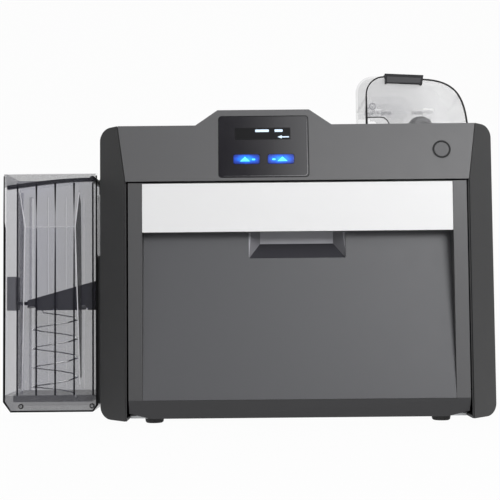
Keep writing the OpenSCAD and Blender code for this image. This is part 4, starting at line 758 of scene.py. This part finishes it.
def backdrop():
    """Floor that curves up into a wall behind the object, white to the camera, with a trace of the shadow."""
    rows = [(FLOOR_FRONT, 0.0), (FLOOR_BACK, 0.0)]
    for a in (math.radians(10 * k) for k in range(1, 10)):
        rows.append((FLOOR_BACK + CURVE_R * math.sin(a), CURVE_R - CURVE_R * math.cos(a)))
    rows.append((FLOOR_BACK + CURVE_R, WALL_TOP))
    bm = bmesh.new()
    last = None
    for y, z in rows:
        line = [bm.verts.new((x, y, z)) for x in (-BACKDROP_HALF, BACKDROP_HALF)]
        if last:
            bm.faces.new((last[0], last[1], line[1], line[0]))
        last = line
    mesh = bpy.data.meshes.new("backdrop")
    bm.to_mesh(mesh)
    bm.free()
    for p in mesh.polygons:
        p.use_smooth = True
    obj = bpy.data.objects.new("backdrop", mesh)
    SCENE.collection.objects.link(obj)
    mat = bpy.data.materials.new("backdrop")
    mat.use_nodes = True
    tree = mat.node_tree
    diffuse = tree.nodes["Principled BSDF"]
    diffuse.inputs["Base Color"].default_value = (0.5, 0.5, 0.5, 1)
    diffuse.inputs["Roughness"].default_value = 0.9
    diffuse.inputs["Specular IOR Level"].default_value = 0.1
    white = tree.nodes.new("ShaderNodeEmission")
    share = tree.nodes.new("ShaderNodeMath")
    share.operation = "MULTIPLY"
    share.inputs[1].default_value = 1 - SHADOW_SHARE
    mix = tree.nodes.new("ShaderNodeMixShader")
    tree.links.new(any_ray(tree, "Is Camera Ray", "Is Glossy Ray", "Is Transmission Ray"), share.inputs[0])
    tree.links.new(share.outputs[0], mix.inputs[0])
    tree.links.new(diffuse.outputs[0], mix.inputs[1])
    tree.links.new(white.outputs[0], mix.inputs[2])
    tree.links.new(mix.outputs[0], tree.nodes["Material Output"].inputs["Surface"])
    mesh.materials.append(mat)


def world():
    """White to the camera and through clear walls, and a soft light on the object."""
    w = bpy.data.worlds.new("studio")
    SCENE.world = w
    w.use_nodes = True
    tree = w.node_tree
    ground = tree.nodes["Background"]
    ground.inputs["Color"].default_value = (1, 1, 1, 1)
    level = tree.nodes.new("ShaderNodeMapRange")
    level.inputs["To Min"].default_value = WORLD_LIGHT
    level.inputs["To Max"].default_value = 1.0
    tree.links.new(any_ray(tree, "Is Camera Ray", "Is Transmission Ray"), level.inputs["Value"])
    tree.links.new(level.outputs["Result"], ground.inputs["Strength"])


def lamp(name, place, target, size, power):
    """A soft lamp that the camera doesn't see, turned to its target."""
    data = bpy.data.lights.new(name, "AREA")
    data.shape = "RECTANGLE"
    data.size, data.size_y = size
    data.energy = power
    obj = bpy.data.objects.new(name, data)
    obj.location = place
    obj.rotation_euler = (Vector(target) - Vector(place)).to_track_quat("-Z", "Y").to_euler()
    obj.visible_camera = False
    SCENE.collection.objects.link(obj)


def studio():
    """Soft light from the front right and from above, and from both sides of the back."""
    backdrop()
    world()
    lamp("key", (1.05, -2.1, 0.85), (0.05, 0, 0.15), (1.0, 0.75), 30.0)
    lamp("front", (0.95, -2.6, 1.7), (0.05, 0, 0.15), (1.9, 2.0), 20.0)
    lamp("top", (0.1, 0.1, 1.7), (0.05, 0.1, 0.2), (1.2, 1.0), 8.0)
    for side, name in ((-1, "rear_left"), (1, "rear_right")):
        lamp(name, (side * 1.6, 1.6, 1.0), (0, 0.1, 0.15), (1.0, 1.0), 26.0)


# --- Camera ---

CAMERA_AT = at(-46.85, -975, 122)
CAMERA_PITCH = math.radians(2.9)
CAMERA_ROLL = -0.0095


def camera():
    """The photograph's camera, 975 mm in front of the door."""
    data = bpy.data.cameras.new("camera")
    # Twice the sensor's width is 1000 pixels of the 500-pixel frame.
    data.sensor_width = 36.0
    data.lens = 72.0
    data.clip_start, data.clip_end = 0.05, 50.0
    obj = bpy.data.objects.new("camera", data)
    turn = Matrix.Rotation(math.radians(90) + CAMERA_PITCH, 4, "X") @ Matrix.Rotation(CAMERA_ROLL, 4, "Z")
    obj.matrix_world = Matrix.Translation(CAMERA_AT) @ turn
    SCENE.collection.objects.link(obj)
    SCENE.camera = obj


studio()
camera()
SCENE.view_settings.view_transform = "Standard"
# A look through both hoppers can cross more clear walls than Blender's usual 8.
SCENE.cycles.transparent_max_bounces = 32

bpy.context.view_layer.update()
